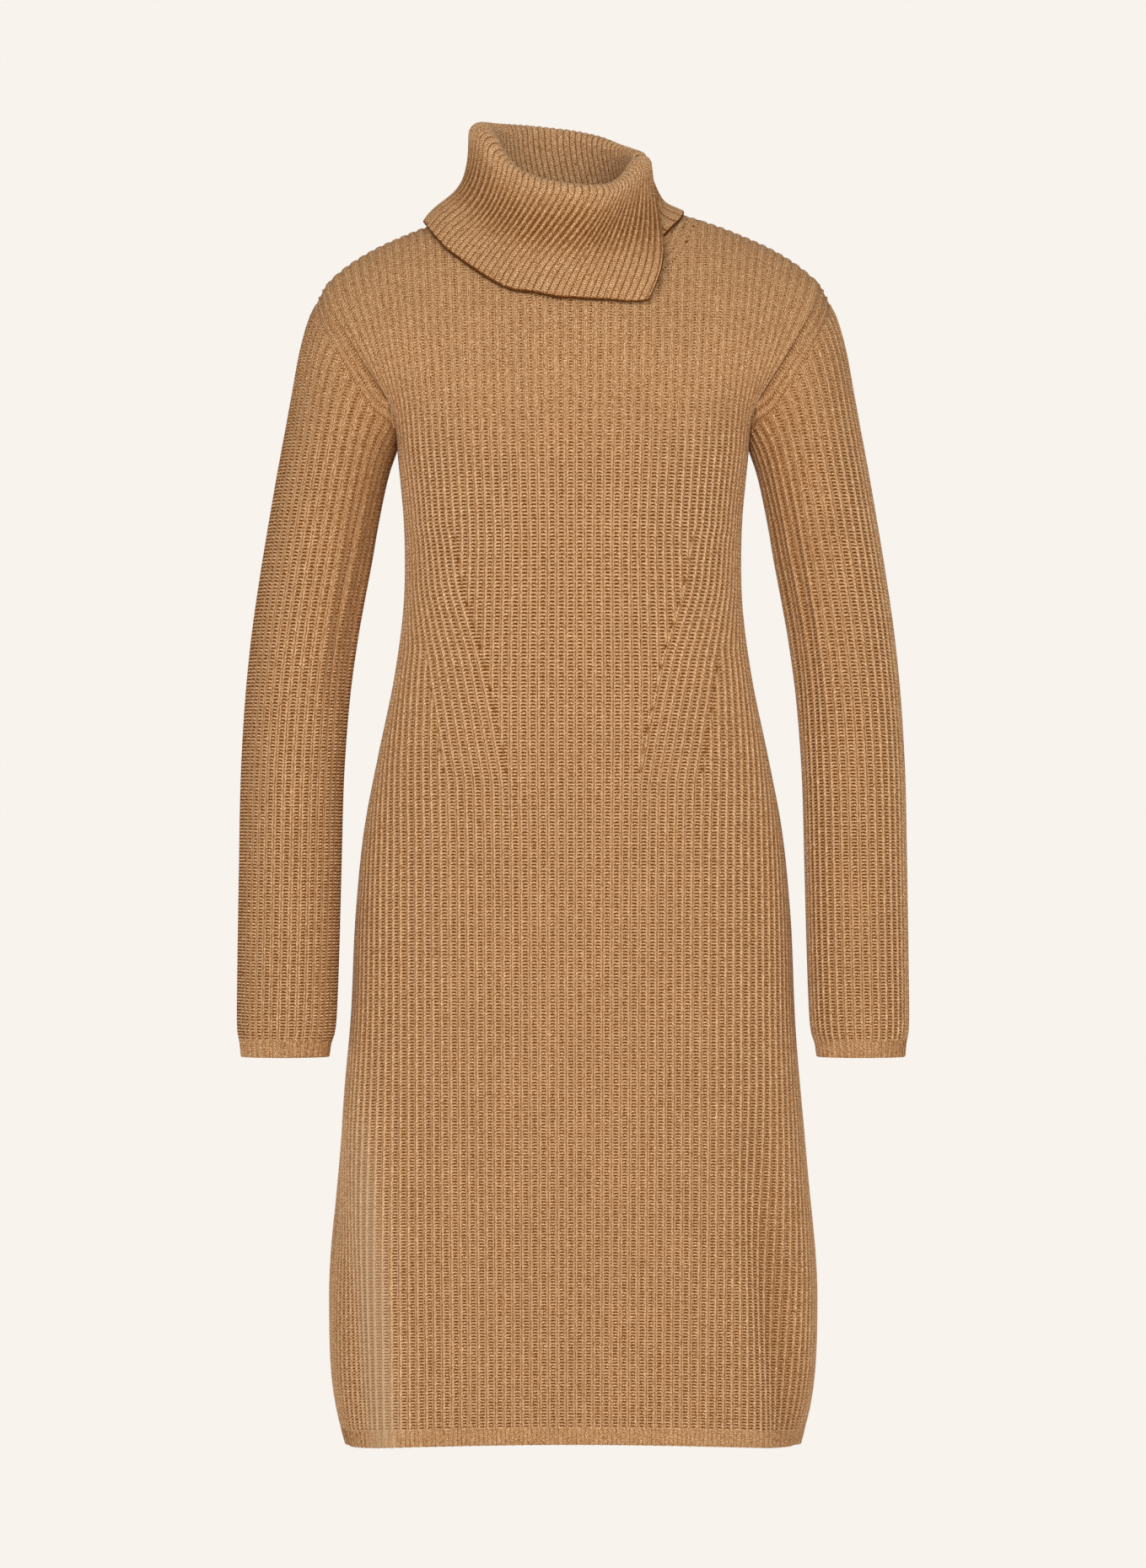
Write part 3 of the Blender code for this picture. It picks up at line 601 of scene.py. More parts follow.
sleeveFolds = {                  # soft troughs: turn from the outer line in degrees, at top and bottom
    "fromShare": [0.06, 0.10, 0.12, 0.16],
    "toShare":   [0.50, 0.55, 0.48, 0.50],
    "turnHigh":  [150, 126, 96, -125],
    "turnLow":   [152, 136, 104, -132],
    "width":     [9, 8, 12, 16],
    "depth":     [-0.0036, -0.0040, -0.0022, -0.0035],
}


def armholeOutline(turns):
    # points of the left armhole's edge at turns from its top, forward and round
    arches = np.linspace(0.5, 0, 241)
    front = archPoint(along(armholeEdge, "arch", "front", arches), arches)
    back = archPoint(along(armholeEdge, "arch", "back", arches[::-1]), 1 - arches[::-1])
    edge = np.concatenate((front, back[1:-1]))
    outer = np.array([sleeveRings["outerX"][0], 0, sleeveRings["outerZ"][0]])
    inner = np.array([sleeveRings["innerX"][0], 0, sleeveRings["innerZ"][0]])
    reach = (outer - inner) / 2
    upward = (edge - (outer + inner) / 2) @ reach / (reach @ reach)
    forward = -edge[:, 1] / sleeveRings["halfDepth"][0]
    edgeTurns = np.arctan2(forward, upward) % (2 * math.pi)
    order = np.argsort(edgeTurns)
    return np.stack([np.interp(turns, edgeTurns[order], edge[order, axis], period=2 * math.pi)
                     for axis in range(3)], axis=1)


def sleeveForm(places, turns):
    # rings along the sleeve: middle + cos(turn) reach + sin(turn) depth, eased into the armhole
    value = {name: along(sleeveRings, "ring", name, places)[:, None]
             for name in sleeveRings if name != "ring"}
    outer = np.concatenate((value["outerX"], 0 * places[:, None], value["outerZ"]), axis=1)
    inner = np.concatenate((value["innerX"], 0 * places[:, None], value["innerZ"]), axis=1)
    middle = (outer + inner) / 2
    middle[:, 1] = value["middleY"][:, 0]
    reach = (outer - inner) / 2
    points = (middle[:, None] + np.cos(turns)[None, :, None] * reach[:, None]
              + np.sin(turns)[None, :, None] * value["halfDepth"][:, None] * np.array([0, -1, 0]))
    ease = np.clip(1 - places / sleeveKnit["blendRings"], 0, 1)[:, None, None] ** 2
    return points + ease * (armholeOutline(turns) - points[0])[None]


def sleevePiece(name, mirrored):
    # a sleeve: rows by cloth length from the armhole to the cuff, pushed in along its folds
    plan = sleeveKnit
    # turns that share the cloth evenly between the ribs
    around = np.linspace(0, 2 * math.pi, 1441)
    girth = np.hypot(np.diff(0.041 * np.cos(around)), np.diff(0.050 * np.sin(around)))
    girth = np.concatenate(([0], np.cumsum(girth)))
    numbers = (np.arange(plan["ribs"])[:, None] + np.array(knit["phases"])[None, :]).ravel()
    numbers = np.append(numbers, plan["ribs"])
    turns = np.interp(numbers / plan["ribs"], girth / girth[-1], around)
    fine = sleeveForm(np.linspace(0, 16, 641), turns)
    climbed = lengthsUp(fine)
    total = climbed[-1]
    first = plan["armholeGap"] + plan["closeStep"] * np.arange(plan["closeRows"])[:, None]
    rest = np.concatenate((np.linspace(0, 1, plan["rows"] + 1)[1:], [2, 3, 4, 5]))[:, None]
    closeEnd, cuffStart = first[-1], total - knit["bandHeight"]
    lower = closeEnd + (cuffStart - closeEnd) * np.minimum(rest, 1)
    cuff = cuffStart + np.interp(rest - 1, [0, 1, 2, 3, 4], [0, 0.0032, 0.0072, 0.0100, knit["bandHeight"]])
    reach = np.concatenate((np.repeat(first, len(turns), axis=1), np.where(rest <= 1, lower, cuff)))
    points = readColumns(fine, climbed, reach)

    def ringFacing(points):
        # normals of a closed ring grid, with neighbours taken across its seam
        wrapped = np.concatenate((points[:, -2:-1], points, points[:, 1:2]), axis=1)
        return facing(wrapped)[:, 1:-1]

    normals = ringFacing(points)
    share = reach / total
    push = np.zeros(share.shape)
    degrees = np.degrees(turns)[None, :]
    for low, high, turnHigh, turnLow, width, depth in zip(*sleeveFolds.values()):
        run = np.clip((share - low) / (high - low), 0, 1)
        off = (degrees - (turnHigh + (turnLow - turnHigh) * run) + 180) % 360 - 180
        push += depth * np.sin(math.pi * run) ** 1.2 * np.exp(-(off / width) ** 2)
    points = points + normals * push[..., None]
    normals = ringFacing(points)

    rib = np.broadcast_to(numbers[None, :], share.shape)
    course = coursesUp(points)
    course = course[-1] - course
    bandShare = ramp(*plan["bandEnd"], np.cos(turns))[None, :]
    bandRib = reach / plan["armholePitch"] - plan["armholeRibs"] * bandShare
    ring = np.concatenate(([0], np.cumsum(np.linalg.norm(np.diff(fine[0], axis=0), axis=1))))
    ring = np.broadcast_to(ring / knit["bandRowPitch"], share.shape)
    relief = ribRelief(rib)
    relief = np.where(bandRib < 0, ribRelief(bandRib), relief)
    relief = flatten(relief, np.abs(bandRib) * plan["armholePitch"], knit["neckFade"])
    relief = relief * ramp(*plan["edgeRise"], reach) + roundEdge(total - reach)
    tight = np.broadcast_to((total - reach < knit["bandHeight"] + 1e-6) * knit["bandTight"], share.shape)
    inner = np.exp(-((degrees - plan["pinchTurn"]) / plan["pinchSpread"]) ** 2)
    inner = inner * (1 - ramp(*plan["pinchAlong"], share))
    far = np.full(share.shape, 2.0)
    # painted shade on the sleeves, deepest on the inner front
    shade = plan["shade"] + plan["innerShade"] * inner
    edging = np.stack((bandRib, ring, tight, plan["pinchDepth"] * inner, far, shade), axis=2)
    keep = list(range(0, len(numbers), len(knit["phases"])))
    face = points + normals * relief[..., None]
    lining = (points - normals * bodyForm["wall"])[:, keep]
    face[:, -1], lining[:, -1] = face[:, 0], lining[:, 0]
    bake = np.broadcast_to(numbers[None, :] / plan["ribs"], share.shape)
    if mirrored:
        face, lining = face[:, ::-1] * np.array([-1, 1, 1]), lining[:, ::-1] * np.array([-1, 1, 1])
        rib, course, edging, bake = -rib[:, ::-1], course[:, ::-1], edging[:, ::-1], 1 - bake[:, ::-1]
        keep = [len(numbers) - 1 - column for column in keep[::-1]]
    merged = np.zeros(share.shape, bool)
    return shellMesh(name, face, lining, keep, merged, (rib, rib), course, edging, bake, tube=True)


# Collar

collarForm = {
    "centre": (-0.0105, -0.013),
    "footInset": 0.0028,         # the stand's face lies this far inside the panel's
    "neckGap": 0.0025,
    "clear": 0.0062,             # least distance between the faces of the stand and the fall
    "fallLanding": 0.38,
    "rows": 46,
    "phases": [0.0, 0.12, 0.25, 0.38, 0.50, 0.63, 0.75, 0.87],
    "crest": 0.0003,
    "groove": 0.0010,            # narrow groove between two ribs
    "ribWidth": 0.0052,          # width of a rib at which its groove has that depth
    "shadowedEdge": (0.0004, 0.0015), # painted shadow: a dark line along the edge up to these distances, low on the fall
    "shadowedShare": (0.3, 0.7),
    "rowPitch": 0.0020,
    "standShade": -0.06,         # painted light: the inside is a little lighter
    "stretchedShare": 0.72,      # the fall's upper part is stretched, which opens the ribs' sides
}
collarStations = {
    "rib":  [0, 4, 9, 15, 19, 24, 29, 33, 36, 40, 44, 49, 56, 61, 66, 71, 76, 80, 84],
    "turn": [79, 66, 50, 31, 12, -10, -30, -45, -60, -80, -100, -125, -160, -185, -208,
             -230, -252, -266, -279],
    "rimHeight": [0.0520, 0.0465, 0.0340, 0.0253, 0.0253, 0.0292, 0.0385, 0.0520, 0.0675, 0.0770,
                  0.0795, 0.0802, 0.0798, 0.0770, 0.0715, 0.0630, 0.0575, 0.0552, 0.0545],
    "edgeAcross": [0.0592, 0.0365, 0.0100, -0.0240, -0.0460, -0.0700, -0.0900, -0.1040, -0.1140, -0.1195,
                   -0.1110, -0.0870, -0.0400, -0.0030, 0.0330, 0.0640, 0.0850, 0.0860, 0.0520],
    "edgeArch": [0.223, 0.202, 0.195, 0.204, 0.228, 0.272, 0.315, 0.356, 0.410, 0.500,
                 0.580, 0.640, 0.690, 0.695, 0.680, 0.625, 0.530, 0.425, 0.275],
    "radius": [0.0585, 0.0585, 0.0585, 0.0585, 0.0585, 0.0585, 0.0580, 0.0570, 0.0555, 0.0535,
               0.0530, 0.0540, 0.0565, 0.0580, 0.0585, 0.0585, 0.0585, 0.0585, 0.0585],
    "fold": [0.0085, 0.0082, 0.0080, 0.0078, 0.0076, 0.0075, 0.0078, 0.0083, 0.0090, 0.0100,
             0.0103, 0.0097, 0.0085, 0.0077, 0.0072, 0.0068, 0.0062, 0.0058, 0.0055],
    "lift": [0.0050, 0.0050, 0.0050, 0.0050, 0.0050, 0.0050, 0.0050, 0.0050, 0.0050, 0.0048,
             0.0048, 0.0050, 0.0050, 0.0050, 0.0050, 0.0045, 0.0038, 0.0037, 0.0037],
    "bulge": [0.0134, 0.0085, 0.0040, 0.0015, 0.0010, 0.0010, 0.0010, 0.0020, 0.0030, 0.0030,
              0.0020, 0.0010, 0, 0, 0, 0, 0, 0, 0],
    "drop":  [0.42, 0.40, 0.36, 0.36, 0.38, 0.42, 0.50, 0.58, 0.64, 0.68, 0.64, 0.55, 0.45, 0.42, 0.45,
              0.56, 0.72, 0.74, 0.62],
    "lean":  [0, 0.20, 0.34, 0.40, 0.40, 0.36, 0.28, 0.15, 0.05, 0, 0, 0, 0, 0, 0, 0, 0, 0, 0],
    "tilt":  [0, 0, 0, 0, 0.05, 0.10, 0.25, 0.50, 0.80, 1.00, 0.90, 0.60, 0.40, 0.40, 0.40,
              0.30, 0.15, 0.10, 0.10],
    "stepAcross": [0.0016, 0.0028, 0.0042, 0.0070, 0.0092, 0.0108, 0.0128, 0.0152, 0.0220, 0.0200,
                   0.0200, 0.0200, 0.0200, 0.0120, -0.0070, -0.0200, -0.0200, -0.0200, -0.0150],
    "stepArch": [0.030, 0.030, 0.030, 0.030, 0.030, 0.030, 0.030, 0.028, 0.018, 0,
                 -0.003, -0.007, -0.016, -0.019, -0.019, 0.008, 0.010, 0, 0.012],
}
collarFolds = {                  # soft drag folds of the fall, from a rib at the rim to one at the edge
    "ribHigh": [8.0, 5.5, 12.0, 20.0, 46.0, 64.0],
    "ribLow":  [12.0, 8.5, 15.0, 24.0, 41.0, 69.0],
    "width":   [1.2, 1.1, 1.0, 1.8, 2.2, 2.2],
    "depth":   [-0.0026, -0.0017, -0.0016, -0.0012, -0.0018, -0.0016],
}


def aroundNeck(turn, radius, height):
    # points on the collar's ring at turns in degrees
    angle = np.radians(turn)
    x = collarForm["centre"][0] + radius * np.sin(angle)
    y = collarForm["centre"][1] - radius * np.cos(angle)
    return np.stack(np.broadcast_arrays(x, y, height), axis=-1)


def clearOfStand(fall, turn, foot, standTop):
    # the fall is pushed out from the neck's axis where it would come too near the stand under it:
    # the stand's radius at the same turn and height plus the clearance is a soft lower limit
    centre = np.array(collarForm["centre"])
    fromAxis = fall[..., :2] - centre
    radius = np.linalg.norm(fromAxis, axis=-1)
    angle = np.degrees(np.arctan2(fromAxis[..., 0], -fromAxis[..., 1]))
    own = turn + (angle - turn + 180) % 360 - 180
    footRadius, topRadius, footHeight, topHeight = (
        np.interp(own, turn[::-1], values[::-1])
        for values in (np.linalg.norm(foot[:, :2] - centre, axis=1),
                       np.linalg.norm(standTop[:, :2] - centre, axis=1), foot[:, 2], standTop[:, 2]))
    share = (fall[..., 2] - footHeight) / (topHeight - footHeight)
    least = footRadius + (topRadius - footRadius) * ramp(0, 1, share) + collarForm["clear"]
    soft = 0.0015
    wanted = least + soft * np.log1p(np.exp(np.clip((radius - least) / soft, -30, 30)))
    wanted = np.where(radius - least > 25 * soft, radius, wanted)
    return np.concatenate((centre + fromAxis * (wanted / radius)[..., None], fall[..., 2:]), axis=-1)


def collarLines(ribs):
    # one line for each rib place: up the stand with an eased lean, half a circle over the fold, then
    # a cubic curve that drops from the fold and lands along the body
    plan = collarForm
    at = {name: along(collarStations, "rib", name, ribs) for name in collarStations if name != "rib"}
    column = {name: values[:, None] for name, values in at.items()}
    turn, fold = at["turn"], at["fold"]
    across, arch = necklinePlace(turn)
    inward = aroundNeck(turn, 0, 0) - aroundNeck(turn, 1, 0)
    foot = archPoint(across, arch) + inward * plan["footInset"] + np.array([0, 0, plan["neckGap"]])
    foldBase = at["rimHeight"] - fold
    standTop = aroundNeck(turn, at["radius"], foldBase)
    share = np.linspace(0, 1, 13)[:-1, None, None]
    stand = foot + (standTop - foot) * ramp(0, 1, share)
    stand[..., 2] = (foot + (standTop - foot) * share)[..., 2]
    bends = np.linspace(0, math.pi, 15)[:-1, None]
    over = aroundNeck(turn[None, :], at["radius"] + fold * (1 - np.cos(bends)),
                      foldBase + fold * np.sin(bends))
    spread = np.maximum(((standTop - foot)[:, :2] * inward[:, :2]).sum(axis=1), 0)[:, None]
    start = aroundNeck(turn, at["radius"] + 2 * fold, foldBase)
    edge = archPoint(at["edgeAcross"], at["edgeArch"])
    above = archPoint(at["edgeAcross"] + at["stepAcross"], at["edgeArch"] + at["stepArch"])
    upward = np.array([0, 0, 1])
    lie = unit(unit(edge - above) - upward * column["tilt"])
    edge = edge + archFacing(at["edgeAcross"], at["edgeArch"]) * column["lift"]
    length = np.linalg.norm(edge - start, axis=1, keepdims=True)
    drop = (start + (edge - start) * np.array([1, 1, 0]) * column["lean"]
            - upward * column["drop"] * length - inward * spread)
    landing = edge - lie * plan["fallLanding"] * length
    aside = unit(np.array([0, -1, 0]) - inward) * column["bulge"]
    share = np.linspace(0, 1, 31)[:, None, None]
    rest = 1 - share
    fall = (rest ** 3 * start + 3 * rest ** 2 * share * drop + 3 * rest * share ** 2 * landing
            + share ** 3 * edge + aside * 6.75 * share ** 2 * rest)
    fall = clearOfStand(fall, turn, foot, standTop)
    return np.concatenate((stand, over, fall)), len(stand) + len(over)


def collarPiece(name):
    # the collar: rows by cloth length from the stand's foot over the fold to the fall's edge
    plan = collarForm
    last = collarStations["rib"][-1]
    numbers = np.append((np.arange(last)[:, None] + np.array(plan["phases"])[None, :]).ravel(), last)
    lines, fallRow = collarLines(numbers)
    climbed = lengthsUp(lines)
    total = climbed[-1]
    even = np.linspace(0, 1, plan["rows"] - 3)
    even = np.unique(np.concatenate((even, [0.012, 0.03, 0.97, 0.988, 0.9955])))
    reach = even[:, None] * total
    points = readColumns(lines, climbed, reach)
    normals = facing(points)
    fallShare = np.clip((reach - climbed[fallRow]) / (total - climbed[fallRow]), 0, 1)
    push = np.zeros(reach.shape)
    for ribHigh, ribLow, width, depth in zip(*collarFolds.values()):
        middle = ribHigh + (ribLow - ribHigh) * fallShare
        push += depth * np.sin(math.pi * fallShare) * np.exp(-((numbers - middle) / width) ** 2)
    points = points + normals * push[..., None]
    normals = facing(points)
    # rounded ribs: the depth of the grooves follows the local width of a rib
    stepAcross = np.linalg.norm(np.gradient(points, axis=1), axis=2) / np.gradient(numbers)[None, :]
    groove = plan["groove"] * np.clip(stepAcross / plan["ribWidth"], 0.35, 1.15)
    fromCrest = np.abs((numbers + 0.5) % 1 - 0.5)[None, :] * 2
    relief = plan["crest"] - groove * fromCrest ** 2.6
    edgeDistance = np.minimum(np.minimum(reach, total - reach),
                              np.minimum(numbers, last - numbers)[None, :] * stepAcross)
    relief = relief + roundEdge(edgeDistance)
    course = reach / plan["rowPitch"]
    rib = np.broadcast_to(numbers[None, :] + 0.25, reach.shape)
    stretched = np.sin(math.pi * np.clip(fallShare / plan["stretchedShare"], 0, 1)) ** 1.3
    # painted shadow along the fall's lower edge and front end, where it lies over the body
    shadowedEdge = np.minimum(total - reach, numbers * stepAcross)
    shade = (1 - ramp(*plan["shadowedEdge"], shadowedEdge)) * ramp(*plan["shadowedShare"], fallShare)
    shade = shade + plan["standShade"] * (1 - ramp(0, 0.06, fallShare))
    none = 0 * reach
    edging = np.stack((none + 9, none, 1 + stretched, none, none + 2, shade), axis=2)
    keep = list(range(0, len(numbers), len(plan["phases"])))
    face = points + normals * relief[..., None]
    lining = (points - normals * bodyForm["wall"])[:, keep]
    bake = np.broadcast_to(numbers[None, :] / last, reach.shape)
    merged = np.zeros(reach.shape, bool)
    return shellMesh(name, face, lining, keep, merged, (rib, rib), course, edging, bake)


# Wool

wool = {
    # middle is the wool's own colour; dark is the painted shade of the stitch gaps and light a painted
    # highlight on the yarn
    "light": (0.960, 0.675, 0.415, 1),
    "middle": (0.465, 0.223, 0.077, 1),
    "dark": (0.155, 0.042, 0.002, 1),
    # a greyer, lighter colour for a painted sheen on a ridge of the skirt's front
    "paintedSheen": (0.485, 0.312, 0.180, 1),
    "closedBelow": -0.210,       # between these heights the rib closes up towards the shoulders
    "closedAbove": -0.130,
    "openBar": 0.23,             # half width of the gaps in the sunk wale, in ribs
    "closedBar": 0.11,
    "barHeight": 0.17,           # half height of the gaps, in courses
    "legSlope": 3.0,             # rise of a stitch's leg over one rib, in courses
    "legThick": (0.10, 0.24),    # pairs: where a thing begins to fade and where it is gone
    "eyeWide": (0.045, 0.090),
    "eyeTall": (0.14, 0.25),
    "loopTall": (0.30, 0.46),
    "ditch": (0.38, 0.48),
    "creaseAt": 0.18,
    "creaseThick": (0.01, 0.045),
    "knotReach": (0.08, 0.20),
    "knotEvery": 6.0,            # courses between knots on a line where ribs end
    "yarnTone": 0.30,            # how much yarn lightens, and how much more where the rib is open
    "yarnOpen": 0.11,
    "gapTone": 0.76,             # the same for how much gaps darken
    "gapOpen": 0.16,
    "toneLevel": 0.46,
    # painted sheen: how far below zero the shade must fall before it shows, and its most
    "paintedSheenFrom": (0.065, 0.15),
    "paintedSheenMost": 0.65,
    "bumpDepth": 0.0006,
    "roughness": 0.9,
    "specular": 0.06,
    "sheen": 0.16,
    "sheenRoughness": 0.30,
    "sheenTint": (1.0, 0.88, 0.74, 1),
}


class Strand:
    # a number in a shader: arithmetic on it adds Math nodes
    def __init__(self, tree, socket):
        self.tree, self.socket = tree, socket

    def math(self, operation, *others, clamp=False):
        values = [self.socket] + [other.socket if isinstance(other, Strand) else other for other in others]
        made = make(self.tree, "ShaderNodeMath", {"operation": operation, "use_clamp": clamp},
                    dict(enumerate(values)))
        return Strand(self.tree, made.outputs[0])

    def __add__(self, other):
        return self.math("ADD", other)

    def __sub__(self, other):
        return self.math("SUBTRACT", other)

    def __rsub__(self, other):
        return (self * -1) + other

    def __mul__(self, other):
        return self.math("MULTIPLY", other)

    def __truediv__(self, other):
        return self.math("DIVIDE", other)

    __radd__ = __add__
    __rmul__ = __mul__

    def clamped(self):
        return self.math("ADD", 0.0, clamp=True)

    def most(self, other):
        return self.math("MAXIMUM", other)

    def offCentre(self, shift=0.0):
        # distance from the middle of the unit step that the value lies in: 0 there, 0.5 at its ends
        return ((self + shift).math("FRACT") - 0.5).math("ABSOLUTE")

    def rise(self, low, high):
        # 0 below low, 1 above high
        return ((self - low) / (high - low)).clamped()


def make(tree, kind, settings, values):
    # one node: its settings first, then a value or a link for each socket
    node = tree.nodes.new(kind)
    for name, value in settings.items():
        setattr(node, name, value)
    for name, value in values.items():
        if isinstance(value, Strand):
            value = value.socket
        if isinstance(value, bpy.types.NodeSocket):
            tree.links.new(value, node.inputs[name])
        else:
            node.inputs[name].default_value = value
    return node


def mixColours(tree, share, first, second, blend="MIX"):
    # a colour between two, or their product for blend MULTIPLY
    made = make(tree, "ShaderNodeMix", {"data_type": "RGBA", "blend_type": blend},
                {0: share, 6: first, 7: second})
    return made.outputs[2]


def woolMaterial(name):
    # the wool: painted shade in the gaps darkens and a painted highlight on the yarn lightens one tone,
    # which picks a colour from dark to light
    look = wool
    material = bpy.data.materials.new(name)
    material.use_nodes = True
    tree = material.node_tree
    shader = tree.nodes["Principled BSDF"]

    def readMap(mapName):
        made = make(tree, "ShaderNodeUVMap", {"uv_map": mapName}, {})
        split = make(tree, "ShaderNodeSeparateXYZ", {}, {0: made.outputs[0]})
        return Strand(tree, split.outputs[0]), Strand(tree, split.outputs[1])

    mainRib, mainCourse = readMap("knit")
    edgeRib, edgeCourse = readMap("edging")
    tight, pinch, fromLine, shade = (
        Strand(tree, make(tree, "ShaderNodeAttribute", {"attribute_name": name}, {}).outputs["Fac"])
        for name in ("tight", "pinch", "fromLine", "shade"))
    inEdging = edgeRib.math("LESS_THAN", 0.0)
    rib = mainRib + (edgeRib - mainRib) * inEdging
    course = mainCourse + (edgeCourse - mainCourse) * inEdging

    place = make(tree, "ShaderNodeTexCoord", {}, {}).outputs["Object"]

    def cloud(scale, detail):
        made = make(tree, "ShaderNodeTexNoise", {}, {"Vector": place, "Scale": scale, "Detail": detail})
        return Strand(tree, made.outputs["Fac"]) - 0.5

    def chance(column, row, seed):
        # a random number for each stitch, 0 to 1
        cell = make(tree, "ShaderNodeCombineXYZ", {},
                    {0: column.math("FLOOR"), 1: row.math("FLOOR"), 2: seed})
        made = make(tree, "ShaderNodeTexWhiteNoise", {"noise_dimensions": "3D"},
                    {"Vector": cell.outputs[0]})
        return Strand(tree, made.outputs["Value"])

    fuzz, patches, strands = cloud(1800, 1), cloud(28, 3), cloud(420, 2)
    inBand = tight.math("GREATER_THAN", 0.5) * tight.math("LESS_THAN", 0.9)
    course = course * (inBand * 0.3 + 1.0) + strands * 0.20
    rib = rib * (inBand + 1.0) + strands * 0.04

    # raised wale centred on a quarter of the rib: a dark eye, painted shade in the stitch's hole, in the
    # middle of each stitch and two light legs that meet under it. Sunk wale on three quarters: an arched
    # gap, painted shade, between two loops.
    off = rib.offCentre(0.25)
    height = Strand(tree, make(tree, "ShaderNodeSeparateXYZ", {}, {0: place}).outputs[2])
    closed = height.rise(look["closedBelow"], look["closedAbove"]).most(pinch)
    sunkRib = rib - 0.25
    fromSunk = 0.5 - off
    barCourse = course + fromSunk * fromSunk * 1.6 + chance(sunkRib, course * 0, 1.5) * 0.15
    barChance = chance(sunkRib, barCourse, 2.5)
    barWidth = look["openBar"] - closed * (look["openBar"] - look["closedBar"]) + (barChance - 0.5) * 0.05
    inSunk = 1 - ((fromSunk - barWidth) / 0.06 + 0.5).clamped()
    fromBar = barCourse.offCentre()
    bar = (1 - fromBar.rise(look["barHeight"] - 0.06, look["barHeight"] + 0.06)) * inSunk
    bar = bar * (barChance * 0.25 + 0.82) * (1 - pinch * 0.65)
    loop = fromBar.rise(*look["loopTall"]) * inSunk
    eye = (1 - off.rise(*look["eyeWide"])) * (1 - course.offCentre().rise(*look["eyeTall"]))
    eye = eye * (chance(rib + 0.25, course, 3.5) * 0.3 + 0.85)
    leg = 1 - (course - off * look["legSlope"] - 0.20).offCentre(0.5).rise(*look["legThick"])
    leg = leg * off.rise(0.02, 0.06) * (1 - off.rise(0.15, 0.26))
    crease = (1 - (off - look["creaseAt"]).math("ABSOLUTE").rise(*look["creaseThick"])) * closed
    # gap gathers the painted shade of holes, bars, eyes, creases and the grooves between ribs
    gap = (bar * (1.0 - closed * 0.15)).most(eye * (1.0 - closed * 0.75))
    gap = gap.most(crease * 0.45)
    gap = gap * (1 - pinch * 0.35)
    yarn = leg.most(loop * 0.55)
    ditch = off.rise(*look["ditch"])
    stitchDots = 1 - (course + 0.3).offCentre().rise(0.12, 0.34)
    tightGap = (course + off * 1.7).offCentre(0.5)
    tightYarn = tightGap.rise(0.12, 0.40) * (1 - ditch) * 0.55
    stretched = (tight - 1).most(0.0)
    side = off.rise(0.13, 0.26) * stretched
    speckle = (course * 1.5).offCentre().rise(0.12, 0.32)
    tightGap = (ditch * (stitchDots * 0.35 + 0.45)).most((1 - tightGap.rise(0.03, 0.16)) * 0.36)
    tightGap = tightGap.most(side * (0.95 - speckle * 0.60))
    tight = tight.math("GREATER_THAN", 0.5)
    knot = 1 - fromLine.rise(*look["knotReach"])
    knot = knot * (1 - (course / look["knotEvery"]).offCentre().rise(0.10, 0.20))
    gap = gap.most(knot * (0.24 + strands * 2.0 + fuzz * 2.4))
    gap = gap + (tightGap * (1 - inBand * 0.45) - gap) * tight
    yarn = yarn + (tightYarn - yarn) * tight

    # painted light on the raised wale, and painted shade in the sunk wale where ribs are pinched together
    wale = (1 - off.rise(0.14, 0.32)) * (1 - tight) * 0.03 + pinch * (0.04 - off.rise(0.26, 0.42) * 0.20)
    opened = (1 - closed) * (1 - tight)
    tone = yarn * (opened * look["yarnOpen"] + look["yarnTone"])
    tone = tone - gap * (opened * look["gapOpen"] + look["gapTone"])
    # shade lays painted shade on the tone, and painted light where it is negative
    tone = tone + fuzz * 2.8 + strands * 0.15 + wale + look["toneLevel"] - shade
    colour = mixColours(tree, (tone * 2).clamped(), look["dark"], look["middle"])
    colour = mixColours(tree, (tone * 2 - 1).clamped(), colour, look["light"])
    # random mottling, times a painted-shade darkening that is deepest along the collar's edge line
    mottleAndPaintedShade = patches * 0.14 + 1.0 - shade.most(0.0) * 0.45
    grey = make(tree, "ShaderNodeCombineXYZ", {}, {0: mottleAndPaintedShade, 1: mottleAndPaintedShade, 2: mottleAndPaintedShade}).outputs[0]
    colour = mixColours(tree, 1.0, colour, grey, "MULTIPLY")
    # painted sheen: greyer and lighter where the shade is well below zero, on a ridge of the skirt's front
    paintedSheenShare = (shade * -1).rise(*look["paintedSheenFrom"]) * look["paintedSheenMost"]
    colour = mixColours(tree, paintedSheenShare, colour, look["paintedSheen"])
    tree.links.new(colour, shader.inputs["Base Color"])
    relief = (1 - gap) + fuzz * 0.25
    bump = make(tree, "ShaderNodeBump", {},
                {"Strength": 0.8, "Distance": look["bumpDepth"], "Height": relief})
    tree.links.new(bump.outputs[0], shader.inputs["Normal"])
    for socketName, value in (("Roughness", look["roughness"]), ("Specular IOR Level", look["specular"]),
                              ("Sheen Weight", look["sheen"]), ("Sheen Roughness", look["sheenRoughness"]),
                              ("Sheen Tint", look["sheenTint"])):
        shader.inputs[socketName].default_value = value
    return material


# The five pieces

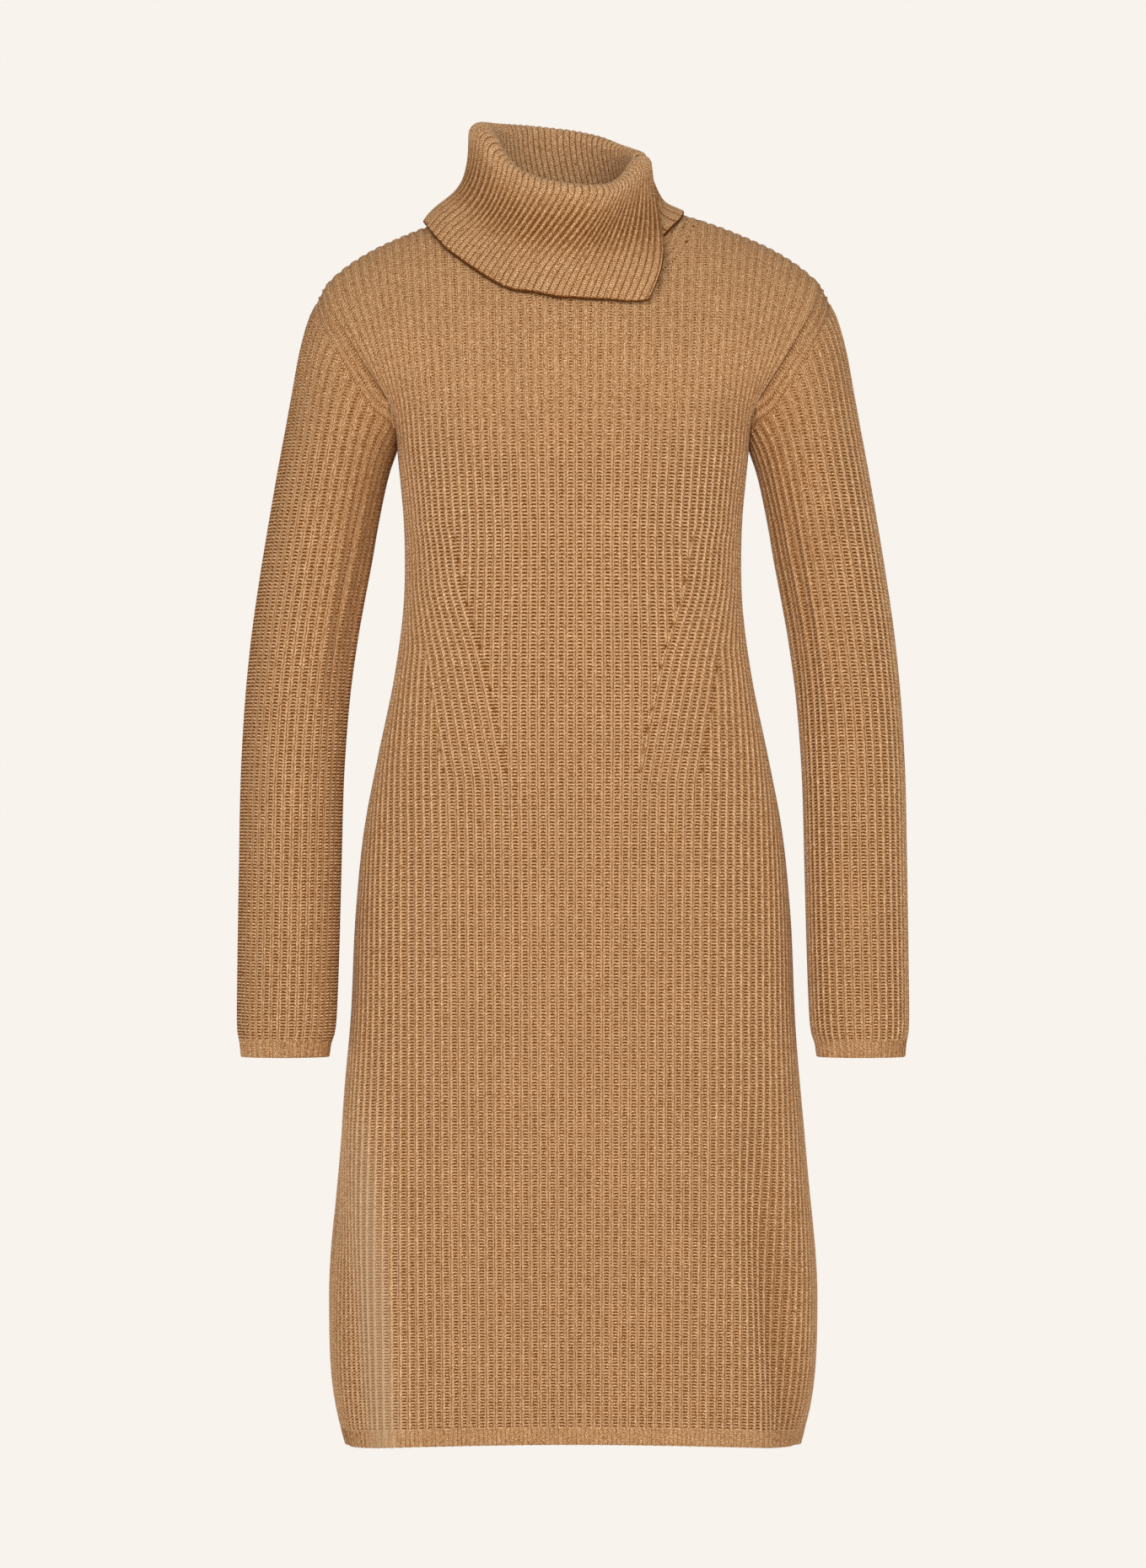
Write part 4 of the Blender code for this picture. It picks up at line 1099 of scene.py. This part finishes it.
ribWool = woolMaterial("camelRibWool")
front = panelPiece("frontKnit", -1)
back = panelPiece("backKnit", 1)
leftSleeve = sleevePiece("leftSleeveKnit", False)
rightSleeve = sleevePiece("rightSleeveKnit", True)
collar = collarPiece("collarKnit")
for piece, nodes, slotName in (
        (front, ["front"], "rib_knit"), (back, ["back"], "rib_knit"),
        (leftSleeve, ["sleeve_left_upper", "sleeve_left_lower"], "rib_knit"),
        (rightSleeve, ["sleeve_right_upper", "sleeve_right_lower"], "rib_knit"),
        (collar, ["collar"], "collar_knit")):
    piece.data.materials.append(ribWool)
    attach(piece, "root")
    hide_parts(*nodes)
print("five knitted pieces made")


# Studio

studio = {
    "background": (0.938, 0.896, 0.847, 1),
    "cameraAt": (0.0, -8.0, -0.45424),
    "seenHeight": 1.2648,        # metres of height in the picture at the origin's depth
    "fill": 0.43,
    "floorHeight": -1.40,
    "floorRadius": 3.7,
    "floorGlow": 0.30,           # keeps the floor as pale as the background
}
scene = bpy.context.scene
scene.view_settings.view_transform = "Standard"
scene.view_settings.look = "None"

world = bpy.data.worlds.new("studioWorld")
scene.world = world
world.use_nodes = True
worldTree = world.node_tree
worldTree.nodes.clear()
rays = make(worldTree, "ShaderNodeLightPath", {}, {})
seen = make(worldTree, "ShaderNodeBackground", {}, {"Color": studio["background"], "Strength": 1.0})
lighting = make(worldTree, "ShaderNodeBackground", {},
                {"Color": (1, 0.985, 0.96, 1), "Strength": studio["fill"]})
both = make(worldTree, "ShaderNodeMixShader", {},
            {0: rays.outputs["Is Camera Ray"], 1: lighting.outputs[0], 2: seen.outputs[0]})
make(worldTree, "ShaderNodeOutputWorld", {}, {0: both.outputs[0]})

floorMesh = bpy.data.meshes.new("floor")
floorTurns = np.linspace(0, 2 * math.pi, 96, endpoint=False)
floorRim = studio["floorRadius"] * np.stack((np.cos(floorTurns), np.sin(floorTurns)), axis=1)
floorMesh.from_pydata([(x, y, studio["floorHeight"]) for x, y in floorRim.tolist()], [], [tuple(range(96))])
floor = bpy.data.objects.new("floor", floorMesh)
scene.collection.objects.link(floor)
floorPaint = bpy.data.materials.new("paleFloor")
floorPaint.use_nodes = True
floorShader = floorPaint.node_tree.nodes["Principled BSDF"]
for socketName, value in (("Base Color", (0.86, 0.82, 0.77, 1)), ("Roughness", 0.9),
                          ("Emission Color", studio["background"]),
                          ("Emission Strength", studio["floorGlow"])):
    floorShader.inputs[socketName].default_value = value
floorMesh.materials.append(floorPaint)


def softLight(name, at, aim, size, power):
    # square area light turned towards a point
    light = bpy.data.lights.new(name, "AREA")
    light.shape, light.size, light.energy = "SQUARE", size, power
    lamp = bpy.data.objects.new(name, light)
    direction = np.array(aim, float) - np.array(at, float)
    flat = math.hypot(direction[0], direction[1])
    lamp.location = at
    lamp.rotation_euler = (math.atan2(flat, -direction[2]), 0, math.atan2(-direction[0], direction[1]))
    scene.collection.objects.link(lamp)


softLight("keyLight", (-1.0, -3.6, 1.4), (0, 0, -0.4), 1.6, 64)
softLight("fillLight", (1.5, -3.5, 0.3), (0, 0, -0.5), 1.8, 36)

camera = bpy.data.objects.new("camera", bpy.data.cameras.new("camera"))
camera.location = studio["cameraAt"]
camera.rotation_euler = (math.radians(90), 0, 0)
camera.data.sensor_width = 36
camera.data.lens = 36 * abs(studio["cameraAt"][1]) / studio["seenHeight"]
scene.collection.objects.link(camera)
scene.camera = camera
